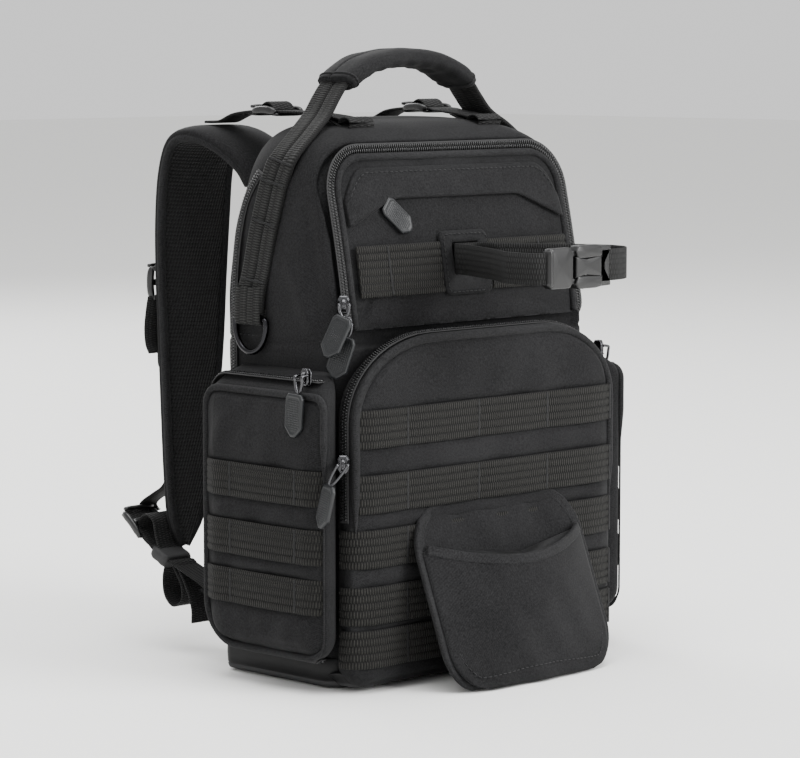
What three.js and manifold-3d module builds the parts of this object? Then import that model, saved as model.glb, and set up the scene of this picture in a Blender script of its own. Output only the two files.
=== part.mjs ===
// Camera backpack in black nylon: padded box body, zipped front panel, outer pockets with rows of
// loop webbing, carry handle, harness, strap and pouch for a long load on the front.
// Millimetres, +Z up, front faces -Y, the bag's left side as seen from the front is -X.
import * as THREE from "three";
import { mergeVertices } from "three/addons/utils/BufferGeometryUtils.js";
import Module from "manifold-3d";

const wasm = await Module();
wasm.setup();

// Main sizes
const GAP = 0.3;
const bodyHeight = 357.5;
const bodyHalfWidth = 118;
const bodyFront = 72;
const bodyBack = 33;
const bodyWall = 6;
const baseLift = 2.4;
const clothWall = 2.5;
const webbing = 1.6;

// Front pocket: a little wider than the body, its face this far in front of the body
const pocketTop = 223;
const pocketHalfWidth = bodyHalfWidth + 3.5;
const pocketFace = bodyFront + 18;

// Side pockets: how far they stand out, and how far they pass the body's front and stop short behind
const sideStand = 22;
const sideFace = bodyHalfWidth + sideStand;
const sideFront = bodyFront + 12;
const sideBack = bodyBack - 5;
const sideTop = pocketTop - 20;
const bootRim = 20;
const sideBottom = bootRim + 1;

// Handle, harness and front strap
const handleTop = bodyHeight + 40;
const handleY = -8;
const legY = -15;
const handleWebWidth = 25;
const handleWebThick = 2.4;
const strapThick = 11;
const strapHalf = 31;
const harnessReach = 82.5;
const padThick = 10;
const lifterWidth = 20;
const adjustWidth = 20;
const loadStrapWidth = 20;
const loadReach = 109;

// Moulded pulls
const pullLength = 28;
const pullWidth = 14.5;
const pullThick = 3.2;

// Looks
const cloth = look(0x2c2c2d, 0.85);
const clothDark = look(0x232324, 0.9);
const web = look(0x333332, 0.8);
const zipTape = look(0x1c1c1d, 0.75);
const mesh3d = look(0x181819, 0.95);
const coated = look(0x3a3a3c, 0.6);
const plastic = look(0x1a1a1b, 0.35);
const rubber = look(0x3b3f43, 0.6);
const metal = look(0x2a2a2c, 0.3, 0.9);

const group = new THREE.Group();

function look(color, roughness, metalness = 0) {
  return new THREE.MeshStandardMaterial({ color, roughness, metalness });
}

// One closed body out of triangles, turned so that it faces outward.
function solid(points, faces) {
  const geometry = new THREE.BufferGeometry();
  geometry.setAttribute("position", new THREE.Float32BufferAttribute(points.flat(), 3));
  geometry.setIndex(faces.flat());
  const merged = mergeVertices(geometry, 1e-4);
  const make = (index) =>
    new wasm.Manifold(
      new wasm.Mesh({
        numProp: 3,
        vertProperties: merged.attributes.position.array,
        triVerts: new Uint32Array(index),
      }),
    );
  const index = Array.from(merged.index.array);
  const first = make(index);
  if (first.volume() > 0) return first;
  const turned = [];
  for (let i = 0; i < index.length; i += 3) turned.push(index[i], index[i + 2], index[i + 1]);
  return make(turned);
}

// Rings of equal count joined into one skin, with fan caps at both ends or joined end to start.
function loft(rings, closed = false) {
  const n = rings[0].length;
  const points = rings.flat();
  const faces = [];
  const spans = closed ? rings.length : rings.length - 1;
  for (let r = 0; r < spans; r++) {
    const a = r * n;
    const b = ((r + 1) % rings.length) * n;
    for (let i = 0; i < n; i++) {
      const j = (i + 1) % n;
      faces.push([a + i, b + i, b + j], [a + i, b + j, a + j]);
    }
  }
  if (!closed) {
    const last = (rings.length - 1) * n;
    const caps = [
      [0, true],
      [last, false],
    ];
    for (const [start, first] of caps) {
      if (n === 4) {
        const q = [start, start + 1, start + 2, start + 3];
        faces.push(first ? [q[0], q[1], q[2]] : [q[0], q[2], q[1]]);
        faces.push(first ? [q[0], q[2], q[3]] : [q[0], q[3], q[2]]);
        continue;
      }
      const middle = points.length;
      const ring = points.slice(start, start + n);
      points.push([0, 1, 2].map((k) => ring.reduce((s, p) => s + p[k], 0) / n));
      for (let i = 0; i < n; i++) {
        const j = (i + 1) % n;
        faces.push(first ? [middle, start + i, start + j] : [middle, start + j, start + i]);
      }
    }
  }
  return solid(points, faces);
}

// Closed outline of a box with elliptical corners, going round from the lower right corner.
// radii: lower right, upper right, upper left, lower left, each [along u, along v]; d insets it.
function outline(u0, u1, v0, v1, radii, d = 0, steps = 5) {
  const pts = [];
  const corners = [
    [u1 - d, v0 + d, -1, 1, -Math.PI / 2],
    [u1 - d, v1 - d, -1, -1, 0],
    [u0 + d, v1 - d, 1, -1, Math.PI / 2],
    [u0 + d, v0 + d, 1, 1, Math.PI],
  ];
  corners.forEach(([cu, cv, su, sv, start], k) => {
    const ru = Math.max(radii[k][0] - d, 0.6);
    const rv = Math.max(radii[k][1] - d, 0.6);
    for (let i = 0; i <= steps; i++) {
      const t = start + ((Math.PI / 2) * i) / steps;
      pts.push([cu + su * ru + ru * Math.cos(t), cv + sv * rv + rv * Math.sin(t)]);
    }
  });
  return pts;
}

// Straight prism in Y of an outline drawn in X and Z.
function frontPrism(pts, y0, y1) {
  return loft([pts.map(([x, z]) => [x, y0, z]), pts.map(([x, z]) => [x, y1, z])]);
}

function box(x0, x1, y0, y1, z0, z1) {
  const pts = [
    [x0, z0],
    [x1, z0],
    [x1, z1],
    [x0, z1],
  ];
  return frontPrism(pts, y0, y1);
}

// Flat band along a path: at each station a centre, a width direction and a face direction.
function band(stations, width, thick, closed = false) {
  const rings = stations.map(({ p, w, n, width: own }) => {
    const half = (own ?? width) / 2;
    const at = (a, b) => [0, 1, 2].map((k) => p[k] + w[k] * half * a + n[k] * (thick / 2) * b);
    return [at(-1, -1), at(1, -1), at(1, 1), at(-1, 1)];
  });
  return loft(rings, closed);
}

// Stations of a band whose path is drawn in one plane and whose width runs along the third axis.
// points: [a, b] pairs; place turns [a, b] into XYZ; side is the width axis.
function planarBand(points, place, side, width, thick, closed = false) {
  const n = points.length;
  const stations = points.map((q, i) => {
    const a = closed ? points[(i + n - 1) % n] : points[Math.max(i - 1, 0)];
    const b = closed ? points[(i + 1) % n] : points[Math.min(i + 1, n - 1)];
    const t1 = unit([q[0] - a[0], q[1] - a[1]]);
    const t2 = unit([b[0] - q[0], b[1] - q[1]]);
    const t = unit([t1[0] + t2[0], t1[1] + t2[1]]);
    const sharp = Math.hypot(t1[0], t1[1]) && Math.hypot(t2[0], t2[1]);
    const open = sharp ? Math.max(t[0] * t1[0] + t[1] * t1[1], 0.5) : 1;
    const flat = place([-t[1] / open, t[0] / open]);
    const zero = place([0, 0]);
    return { p: place(q), w: side, n: flat.map((v, k) => v - zero[k]) };
  });
  return band(stations, width, thick, closed);
}

function unit(v) {
  const l = Math.hypot(...v);
  return l > 1e-9 ? v.map((c) => c / l) : v.map(() => 0);
}

// Round rod along a path.
function rod(path, radius, sides = 8, closed = false) {
  const n = path.length;
  let up = null;
  const rings = path.map((p, i) => {
    const a = closed ? path[(i + n - 1) % n] : path[Math.max(i - 1, 0)];
    const b = closed ? path[(i + 1) % n] : path[Math.min(i + 1, n - 1)];
    const t = new THREE.Vector3(b[0] - a[0], b[1] - a[1], b[2] - a[2]).normalize();
    if (!up) up = new THREE.Vector3(0.3, 0.2, 1).cross(t).normalize();
    up.addScaledVector(t, -up.dot(t)).normalize();
    const side = new THREE.Vector3().crossVectors(t, up);
    return Array.from({ length: sides }, (_, k) => {
      const c = radius * Math.cos((2 * Math.PI * k) / sides);
      const s = radius * Math.sin((2 * Math.PI * k) / sides);
      return [p[0] + up.x * c + side.x * s, p[1] + up.y * c + side.y * s, p[2] + up.z * c + side.z * s];
    });
  });
  return loft(rings, closed);
}

const mirrorX = (m) => m.mirror([1, 0, 0]);

function add(name, manifold, material) {
  const made = manifold.getMesh();
  const geometry = new THREE.BufferGeometry();
  geometry.setAttribute("position", new THREE.BufferAttribute(new Float32Array(made.vertProperties), 3));
  geometry.setIndex(new THREE.BufferAttribute(new Uint32Array(made.triVerts), 1));
  geometry.computeVertexNormals();
  const part = new THREE.Mesh(geometry, material);
  part.name = name;
  group.add(part);
}

function pair(name, manifold, material) {
  add(name + "_left", manifold, material);
  add(name + "_right", mirrorX(manifold), material);
}

// Body: level sections. Columns: level, half width, front reach, back reach, front and back radius.
// A level is 0 at the foot, 1 at the fold behind the front pocket's top, 2 at the crown. The
// others are shares of the main sizes, and the radii shares of bodyBack.
const bodyRows = [
  [0.0, 0.965, 0.95, 0.88, 0.36, 0.3],
  [0.05, 1, 1, 1, 0.42, 0.24],
  [0.5, 1, 1, 1, 0.42, 0.24],
  [1.0, 1, 1, 1, 0.42, 0.24],
  [1.22, 0.995, 0.945, 1, 0.39, 0.27],
  [1.44, 0.983, 0.87, 1, 0.36, 0.33],
  [1.635, 0.958, 0.79, 1, 0.36, 0.6],
  [1.77, 0.92, 0.73, 1, 0.36, 0.76],
  [1.873, 0.842, 0.67, 0.97, 0.42, 0.85],
  [1.943, 0.725, 0.56, 0.88, 0.48, 0.79],
  [1.982, 0.56, 0.38, 0.7, 0.42, 0.55],
  [2.0, 0.39, 0.12, 0.46, 0.21, 0.24],
];
const foldZ = pocketTop - 2.2;
const levelZ = (s) =>
  s < 1 ? baseLift + s * (foldZ - baseLift) : foldZ + (s - 1) * (bodyHeight - foldZ);
const levelOf = (z) =>
  z < foldZ ? (z - baseLift) / (foldZ - baseLift) : 1 + (z - foldZ) / (bodyHeight - foldZ);

function share(z, k) {
  const s = levelOf(z);
  const i = Math.max(
    0,
    bodyRows.findIndex((r, j) => j < bodyRows.length - 1 && s <= bodyRows[j + 1][0]),
  );
  const [a, b] = [bodyRows[i], bodyRows[i + 1]];
  return a[k] + ((b[k] - a[k]) * (s - a[0])) / (b[0] - a[0]);
}
const sideAt = (z) => bodyHalfWidth * share(z, 1);
const frontAt = (z) => -bodyFront * share(z, 2);

// The body's skin moved outward by off, as a full solid.
function bodyLoft(off) {
  const steps = 4;
  return loft(
    bodyRows.map(([s, w, f, b, rf, rb]) => {
      const z = levelZ(s) + off * (s < 0.5 ? -1 + 2 * s : Math.max(s - 1, 0));
      const hw = bodyHalfWidth * w + off;
      const f1 = Math.max(rf * bodyBack + off, 2);
      const b1 = Math.max(rb * bodyBack + off, 2);
      const radii = [
        [f1, f1],
        [b1, b1],
        [b1, b1],
        [f1, f1],
      ];
      const pts = outline(-hw, hw, -(bodyFront * f + off), bodyBack * b + off, radii, 0, steps);
      return pts.map(([x, y]) => [x, y, z]);
    }),
  );
}

// Front panel outline: straight foot, upper corners rounded; d moves it inward.
const panelHalf = bodyHalfWidth - 14;
const panelFoot = pocketTop + 4;
const panelTop = bodyHeight - 21.5;
const panelCorner = 25;
const zipBand = 6.4;
const panelUp = (s) => panelFoot + s * (panelTop - panelFoot);
function panelOutline(d, foot = panelFoot) {
  const radii = [
    [1, 1],
    [panelCorner, panelCorner],
    [panelCorner, panelCorner],
    [1, 1],
  ];
  const pts = outline(-panelHalf, panelHalf, foot, panelTop, radii, d, 6);
  return pts.map(([x, z]) => [x, Math.max(z, foot)]);
}

// A cut that follows the lean of the upper front, from well outside to a depth behind the skin.
const leanTop = frontAt(panelTop);
const leanFoot = frontAt(panelFoot);
const lean = (z) => leanFoot + ((z - panelFoot) / (panelTop - panelFoot)) * (leanTop - leanFoot);
function leaningPrism(pts, depth) {
  return loft([
    pts.map(([x, z]) => [x, lean(z) - 40, z]),
    pts.map(([x, z]) => [x, lean(z) + depth, z]),
  ]);
}

const bodyOuter = bodyLoft(0);
const bodyInner = bodyLoft(-bodyWall);
const doorCut = leaningPrism(panelOutline(-(zipBand + GAP + 0.3), panelFoot - GAP), bodyWall + 4);
add("main_body", bodyOuter.subtract(bodyInner).subtract(doorCut), cloth);

const shellFront = bodyOuter.subtract(bodyInner);
add("front_panel", shellFront.intersect(leaningPrism(panelOutline(0), bodyWall + 3)), cloth);

const zipSkin = bodyLoft(-0.6).subtract(bodyLoft(-2.6));
const zipRing = leaningPrism(panelOutline(-(zipBand + 0.3)), 9).subtract(
  leaningPrism(panelOutline(-0.3, panelFoot - 5), 12),
);
const zipFootCut = box(-200, 200, -200, 200, 0, panelFoot + 2);
add("main_zipper", zipSkin.intersect(zipRing).subtract(zipFootCut), zipTape);

// Storm flap over the panel's slip pocket: level lip in the middle, sloping down at both ends.
// Columns: share of the flap's half width, share of the panel's height.
const flapHalf = panelHalf - 5;
const flapRows = [
  [-1, 0.587],
  [-0.586, 0.743],
  [0.586, 0.743],
  [1, 0.587],
  [1, 0.771],
  [0.909, 0.89],
  [0.788, 0.927],
  [-0.788, 0.927],
  [-0.909, 0.89],
  [-1, 0.771],
];
const flapPts = flapRows.map(([u, s]) => [u * flapHalf, panelUp(s)]);
const flapSkin = bodyLoft(GAP + 1.8).subtract(bodyLoft(GAP));
add("storm_flap", flapSkin.intersect(leaningPrism(flapPts, 6)), cloth);

// Loop webbing across the front panel and the slit patch that the load strap comes out of.
const panelWebFoot = panelUp(0.183);
const panelWebTop = panelUp(0.486);
const patchFoot = panelUp(0.165);
const patchTop = panelUp(0.541);
const patchHalf = loadStrapWidth + 2;
const patchThick = 3.2;
const loadStrapZ = panelUp(0.376);
function panelRow(x0, x1, t0, t1) {
  const pts = [
    [x0, panelWebFoot],
    [x1, panelWebFoot],
    [x1, panelWebTop],
    [x0, panelWebTop],
  ];
  return bodyLoft(t1).subtract(bodyLoft(t0)).intersect(leaningPrism(pts, 8));
}
pair("panel_webbing", panelRow(1 - flapHalf, -patchHalf - GAP, GAP, GAP + webbing + 0.6), web);
const slitHalfZ = loadStrapWidth / 2 + 2 * GAP;
const slitHalfX = 12;
const skinAtStrap = frontAt(loadStrapZ);
const slit = box(
  -slitHalfX,
  slitHalfX,
  skinAtStrap - 25,
  skinAtStrap + 5,
  loadStrapZ - slitHalfZ,
  loadStrapZ + slitHalfZ,
);
const patchPts = [
  [-patchHalf, patchFoot],
  [patchHalf, patchFoot],
  [patchHalf, patchTop],
  [-patchHalf, patchTop],
];
const patch = bodyLoft(GAP + patchThick)
  .subtract(bodyLoft(GAP))
  .intersect(leaningPrism(patchPts, 8))
  .subtract(slit);
add("strap_patch", patch, cloth);

// Pocket as an open-backed tray: rows of depth and inset, the wall left all round.
function tray(rows, ringAt, wall) {
  const outer = loft(rows.map(([d, inset]) => ringAt(d, inset)));
  const inner = rows.map(([d, inset], i) => {
    const deep = i === 0 ? d - 5 : Math.min(d, rows[rows.length - 1][0] - wall);
    return ringAt(deep, inset + wall);
  });
  const kept = inner.filter((_, i) => i === 0 || i < rows.length - 1);
  kept.push(ringAt(rows[rows.length - 1][0] - wall, rows[rows.length - 2][1] + wall + 1));
  const flatRows = [kept[0], ringAt(rows[0][0] + 0.01, rows[0][1] + wall), ...kept.slice(1)];
  return outer.subtract(loft(flatRows));
}

const pocketFootCorner = [14, 14];
const pocketHeadCorner = [70, 52];
const pocketRadii = [pocketFootCorner, pocketHeadCorner, pocketHeadCorner, pocketFootCorner];
const frontRing = (d, inset) =>
  outline(-pocketHalfWidth, pocketHalfWidth, baseLift + 0.2, pocketTop, pocketRadii, inset, 6).map(
    ([x, z]) => [x, -(bodyFront + GAP + d), z],
  );
const pocketDepth = pocketFace - bodyFront - GAP;
const pocketRows = [
  [0, 3.8],
  [pocketDepth * 0.6, 0],
  [pocketDepth * 0.85, 1.2],
  [pocketDepth, 5],
];
const frontPocket = tray(pocketRows, frontRing, clothWall);
add("front_pocket", frontPocket, cloth);

// Zipper round the pocket's rim, from one side over the top to the other.
const zipLow = pocketTop * 0.484;
function rimBand(rows, ringAt, from, to) {
  const skin = (off) => loft(rows.map(([d, inset]) => ringAt(d, inset - off)));
  return skin(to).subtract(skin(from));
}
const frontRim = rimBand(pocketRows, frontRing, GAP, GAP + 1.2).intersect(
  box(-200, 200, -(bodyFront + GAP + pocketDepth * 0.84), -(bodyFront + GAP + pocketDepth * 0.4), zipLow, 300),
);
add("front_pocket_zipper", frontRim, zipTape);

// Rows of loop webbing: bowed out between the bar stitches.
const rowWidth = 24.5;
const rowLift = webbing / 2 + GAP + 0.15;
function bow(at, pitch) {
  return 1.4 * Math.abs(Math.sin((Math.PI * at) / pitch)) ** 0.7;
}
// Path over a face: u0 to u1 across the flat, ends turned back over the rim's bevel.
function rowPath(u0, u1, face, bevelU, bevelFace, pitch, shift, count) {
  const pts = [];
  for (let i = 0; i <= count; i++) {
    const u = u0 + ((u1 - u0) * i) / count;
    const out = i === 0 || i === count ? 0 : bow(u + shift, pitch);
    pts.push([u, face + rowLift + out]);
  }
  const l = Math.hypot(bevelU, bevelFace);
  const [nu, nf] = [bevelFace / l, bevelU / l];
  const tip = [bevelU * 0.8 + nu * rowLift, -bevelFace * 0.8 + nf * rowLift];
  pts.unshift([u0 - tip[0], face + tip[1]]);
  pts.push([u1 + tip[0], face + tip[1]]);
  return pts;
}
const frontRowCentres = [0.749, 0.565, 0.41, 0.249, 0.1256].map((s) => s * pocketTop);
frontRowCentres.forEach((z, i) => {
  const flat = pocketHalfWidth - pocketRows[3][1];
  const bevel = [pocketRows[3][1] - pocketRows[2][1], pocketDepth * 0.15];
  const pts = rowPath(-flat, flat, pocketFace, bevel[0], bevel[1], 65, 13, 14);
  const row = planarBand(pts, ([x, y]) => [x, -y, z], [0, 0, 1], rowWidth, webbing);
  add("front_webbing_" + (i + 1), row, web);
});

// Side pocket: the same kind of tray on the side wall, its top slanting down to its face.
const sideDepth = sideFace - bodyHalfWidth - GAP;
const sideRows = [
  [0, 1],
  [sideDepth * 0.45, 0.2],
  [sideDepth * 0.82, 1.2],
  [sideDepth, 6],
];
const sideTaper = 13;
const sideRadii = [
  [30, 30],
  [14, 14],
  [10, 10],
  [16, 16],
];
const sideRing = (d, inset) => {
  const s = Math.min(Math.max(d / sideDepth, 0), 1);
  const narrow = (1 - s) ** 2;
  const pts = outline(
    -sideFront + sideTaper * narrow,
    sideBack + 1 - sideTaper * 0.3 * narrow,
    sideBottom,
    sideTop - sideTaper * s,
    sideRadii,
    inset,
    5,
  );
  return pts.map(([y, z]) => [-(bodyHalfWidth + GAP + d), y, z]);
};
const sidePocket = tray(sideRows, sideRing, clothWall);
pair("side_pocket", sidePocket, cloth);

const sideRim = rimBand(sideRows, sideRing, GAP, GAP + 1.2).intersect(
  box(
    -sideFace + 4,
    -(bodyHalfWidth + GAP + sideDepth * 0.3),
    -sideFront + sideTaper,
    200,
    sideBottom + 6,
    300,
  ),
);
pair("side_pocket_zipper", sideRim, zipTape);

const sideRowCentres = [0.645, 0.463, 0.308].map((s) => s * sideTop);
function sideRow(z) {
  const u0 = -sideFront + sideRows[3][1];
  const u1 = sideBack + 1 - sideRows[3][1];
  const pts = rowPath(u0, u1, sideFace, 4.6, sideDepth * 0.18, 60, 1.4, 8);
  return planarBand(pts, ([y, x]) => [-x, y, z], [0, 0, 1], rowWidth - 2, webbing);
}
sideRowCentres.forEach((z, i) => pair("side_webbing_" + (i + 1), sideRow(z), web));

// Base boot: coated cloth tray under the body and the front pocket, its rim up the sides and back.
const bootThick = 1.8;
const bootSkin = bodyLoft(GAP + bootThick).subtract(bodyLoft(GAP));
const bootWalls = bootSkin
  .intersect(box(-200, 200, -200, 200, -20, bootRim))
  .subtract(box(-200, 200, -200, -bodyFront + 3, baseLift - 0.6, 100));
const footPts = outline(
  -pocketHalfWidth + 6,
  pocketHalfWidth - 6,
  -pocketFace + 4,
  bodyBack - 3,
  [
    [12, 12],
    [12, 12],
    [12, 12],
    [12, 12],
  ],
  0,
  4,
);
const footPlate = loft([footPts.map(([x, y]) => [x, y, 0]), footPts.map(([x, y]) => [x, y, bootThick])]);
const bootBody = bootWalls.add(footPlate).subtract(bodyLoft(GAP)).intersect(box(-200, 200, -200, 200, 0, 100));
add("base_boot", bootBody, coated);

// Back pads: two long pads and a lumbar pad, thick foam under mesh, flat towards the wearer.
const padFace = bodyBack + padThick;
const padHalf = bodyHalfWidth - 20;
const padGroove = 12;
const padFoot = bootRim + 2;
const lumbarTop = bodyHeight * 0.235;
const longPadFoot = lumbarTop + padGroove;
const longPadTop = bodyHeight * 0.84;
function pad(x0, x1, z0, z1, corner) {
  const radii = [corner, corner, corner, corner].map((r) => [r, r]);
  const ring = (d, inset) =>
    outline(x0, x1, z0, z1, radii, inset, 4).map(([x, z]) => [x, bodyBack + GAP + d, z]);
  const depth = padFace - bodyBack - GAP;
  return loft([ring(0, 0.6), ring(depth * 0.55, 0), ring(depth * 0.88, 1.6), ring(depth, 6)]);
}
const backSheet = frontPrism(
  outline(2 - padHalf, padHalf - 2, padFoot + 2, longPadTop - 2, [[16, 16], [20, 20], [20, 20], [16, 16]]),
  bodyBack + GAP,
  bodyBack + GAP + 2,
);
const backPads = pad(-padHalf, -padGroove, longPadFoot, longPadTop, 22)
  .add(pad(padGroove, padHalf, longPadFoot, longPadTop, 22))
  .add(pad(-padHalf, padHalf, padFoot, lumbarTop, 18));
add("back_pad", backPads.add(backSheet), mesh3d);

// Shoulder strap: stations down the strap, a rounded section each. Columns: share of the body's
// half width, share of harnessReach behind the body, share of its height, share of strapHalf.
const behind = (s) => bodyBack + s * harnessReach;
const strapRows = [
  [-0.56, 0.075, 0.884, 0.81],
  [-0.568, 0.182, 0.9175, 0.84],
  [-0.593, 0.4, 0.954, 0.9],
  [-0.61, 0.667, 0.972, 0.97],
  [-0.619, 0.861, 0.957, 0.985],
  [-0.623, 0.958, 0.9, 1],
  [-0.627, 0.994, 0.811, 1],
  [-0.636, 1, 0.7, 0.95],
  [-0.644, 0.994, 0.573, 0.87],
  [-0.661, 0.988, 0.4475, 0.76],
  [-0.678, 0.988, 0.33, 0.63],
  [-0.695, 0.994, 0.246, 0.45],
  [-0.712, 1, 0.196, 0.24],
];
const strapLine = strapRows.map(([u, v, s, w]) => [
  u * bodyHalfWidth,
  behind(v),
  s * bodyHeight,
  w * strapHalf,
]);
function shoulderStrap(lines, thick) {
  const n = lines.length;
  const rings = lines.map(([x, y, z, half], i) => {
    const a = lines[Math.max(i - 1, 0)];
    const b = lines[Math.min(i + 1, n - 1)];
    const t = unit([0, b[1] - a[1], b[2] - a[2]]);
    const normal = [0, t[2], -t[1]];
    const section = outline(
      -half,
      half,
      -thick / 2,
      thick / 2,
      [
        [5, 4.5],
        [5, 4.5],
        [5, 4.5],
        [5, 4.5],
      ],
      0,
      2,
    );
    return section.map(([u, v]) => [x + u, y + normal[1] * v, z + normal[2] * v]);
  });
  return loft(rings);
}
const strapSolid = shoulderStrap(strapLine, strapThick);
pair("shoulder_strap", strapSolid, mesh3d);

// Ladder lock: two side rails and three cross bars that the webbing threads between.
function ladderLock(length, width, webThick) {
  const bar = 4;
  const side = (s) => box(s * (width / 2) - 1.8, s * (width / 2) + 1.8, -length / 2, length / 2, -3, 3.6);
  const low = -webThick / 2 - GAP;
  const high = webThick / 2 + GAP;
  const under = (y) => box(-width / 2, width / 2, y - bar / 2, y + bar / 2, low - 2.4, low);
  const over = (y) => box(-width / 2, width / 2, y - bar / 2, y + bar / 2, high, high + 2.6);
  return side(-1)
    .add(side(1))
    .add(under(-length / 2 + bar / 2))
    .add(over(0))
    .add(under(length / 2 - bar / 2));
}

// Load lifter: webbing from the strap's crest over the top of the bag to its anchor.
// Columns: share of the body's half width, share of the way back, millimetres over the crown.
const lifterFront = legY - 11;
const lifterBack = behind(0.715);
const overStrap = 0.972 * bodyHeight + strapThick / 2 + webbing / 2 + GAP - bodyHeight;
const lifterRows = [
  [-0.5, 0, -0.1],
  [-0.508, 0.119, 2.1],
  [-0.536, 0.271, 3.9],
  [-0.589, 0.407, 4.9],
  [-0.593, 0.61, 4.9],
  [-0.602, 0.78, 2.7],
  [-0.61, 0.898, overStrap + 1.1],
  [-0.619, 1, overStrap],
];
const lifterLine = lifterRows.map(([u, v, up]) => [
  u * bodyHalfWidth,
  lifterFront + v * (lifterBack - lifterFront),
  bodyHeight + up,
]);
const lifterStations = lifterLine.map(([x, y, z], i) => {
  const a = lifterLine[Math.max(i - 1, 0)];
  const b = lifterLine[Math.min(i + 1, lifterLine.length - 1)];
  const t = unit([0, b[1] - a[1], b[2] - a[2]]);
  return { p: [x, y, z], w: [1, 0, 0], n: [0, -t[2], t[1]] };
});
pair("load_lifter", band(lifterStations, lifterWidth, webbing), web);
const lockLength = 22;
const lifterFlat = [0, 1, 2].map((k) => (lifterLine[3][k] + lifterLine[4][k]) / 2);
const lifterLock = ladderLock(lockLength, lifterWidth + 5, webbing).translate(lifterFlat);
pair("lifter_lock", lifterLock, plastic);

// Wing: stiff cloth tongue out of the lower back corner that the adjusting webbing is sewn to.
// Columns: share of the body's half width, millimetres behind the pads, share of the body's
// height, width over the adjusting webbing's.
const wingSlope = unit([35, 19]);
const wingRows = [
  [-0.729, 1.2, 0.0892, 24],
  [-0.771, 9, 0.101, 16],
  [-0.805, 19, 0.1164, 8],
  [-0.822, 29, 0.1315, 2],
];
const wingLine = wingRows.map(([u, back, s, over]) => [
  u * bodyHalfWidth,
  padFace + back,
  s * bodyHeight,
  adjustWidth + over,
]);
const wingStations = wingLine.map(([x, y, z, width]) => ({
  p: [x, y, z],
  w: [1, 0, 0],
  n: [0, -wingSlope[1], wingSlope[0]],
  width,
}));
pair("strap_wing", band(wingStations, 48, 3), clothDark);

// Adjusting webbing: from the wing up to the ladder lock, and the sewn tab that holds the lock.
// Columns: distance behind the body or, on the wing, behind the pads; share of the body's height.
const adjustX = wingLine[3][0];
const adjustLine = [
  [padFace + 9.6, 0.1105 * bodyHeight],
  [padFace + 27.6, 0.138 * bodyHeight],
  [behind(0.643), 0.154 * bodyHeight],
  [behind(0.861), 0.172 * bodyHeight],
  [behind(1.055), 0.191 * bodyHeight],
  [behind(1.406), 0.258 * bodyHeight],
];
const lockRun = [0, 1].map((k) => adjustLine[5][k] - adjustLine[4][k]);
const lockAt = [0, 1].map((k) => adjustLine[4][k] + 0.62 * lockRun[k]);
const onX = ([y, z]) => [adjustX, y, z];
pair("adjust_webbing", planarBand(adjustLine, onX, [1, 0, 0], adjustWidth, webbing), web);
const lowerLock = ladderLock(lockLength, adjustWidth + 5, webbing)
  .rotate([(Math.atan2(lockRun[1], lockRun[0]) * 180) / Math.PI, 0, 0])
  .translate([adjustX, ...lockAt]);
pair("lower_lock", lowerLock, plastic);
const strapSkin = behind(0.988) + strapThick / 2 + GAP + webbing / 2;
const tabWidth = adjustWidth - 4;
const tabLine = [
  [strapSkin + 0.1, lockAt[1] + 49],
  [strapSkin + 0.4, lockAt[1] + 33],
  [lockAt[0] - 12, lockAt[1] + 25],
  [lockAt[0] - 2, lockAt[1] + 19],
  [lockAt[0] + 8.5, lockAt[1] + 15],
];
const onTab = ([y, z]) => [adjustX + 12, y, z];
pair("lock_tab", planarBand(tabLine, onTab, [1, 0, 0], tabWidth, webbing), web);

// Carry webbing: from the ring on one side, up the side wall, over through the grip and down.
// Wall rows: share of the way up from the ring to the crown, share of the way forward to legY,
// millimetres off the wall. Over rows: share of the half width, share of the way from legY to
// handleY, share of the way up to handleTop.
const webFaceOut = GAP + handleWebThick / 2;
const ringZ = pocketTop + 8;
const ringY = 3;
const hangZ = ringZ + 5;
const wallRows = [
  [0, 0, 3.4],
  [0.115, 0.083, 2.8],
  [0.214, 0.166, 0.6],
  [0.403, 0.388, 0.2],
  [0.584, 0.639, 0.3],
  [0.708, 0.805, 0.9],
  [0.815, 1, 2.8],
];
const overRows = [
  [-0.768, 0.2, -0.1875],
  [-0.636, 0.79, 0.0875],
  [-0.551, 1, 0.375],
  [-0.483, 1, 0.585],
  [-0.322, 1, 0.85],
  [-0.161, 1, 0.965],
  [0, 1, 1],
];
const halfRun = [
  ...wallRows.map(([s, v, off]) => {
    const z = hangZ + s * (bodyHeight - hangZ);
    return [-(sideAt(z) + webFaceOut + off), ringY + v * (legY - ringY), z];
  }),
  ...overRows.map(([u, v, s]) => [
    u * bodyHalfWidth,
    legY + v * (handleY - legY),
    bodyHeight + s * (handleTop - bodyHeight),
  ]),
];
const carryLine = [...halfRun, ...halfRun.slice(0, -1).reverse().map(([x, y, z]) => [-x, y, z])];
const carryStations = carryLine.map((p, i) => {
  const a = carryLine[Math.max(i - 1, 0)];
  const b = carryLine[Math.min(i + 1, carryLine.length - 1)];
  const t = unit([b[0] - a[0], b[1] - a[1], b[2] - a[2]]);
  const n = unit([-t[2], 0, t[0]]);
  const w = [t[1] * n[2] - t[2] * n[1], t[2] * n[0] - t[0] * n[2], t[0] * n[1] - t[1] * n[0]];
  return { p, w, n };
});
const ringX = -(sideAt(ringZ) + 4.6);
const ringBar = 1.9;
const carryBand = band(carryStations, handleWebWidth, handleWebThick);

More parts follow.
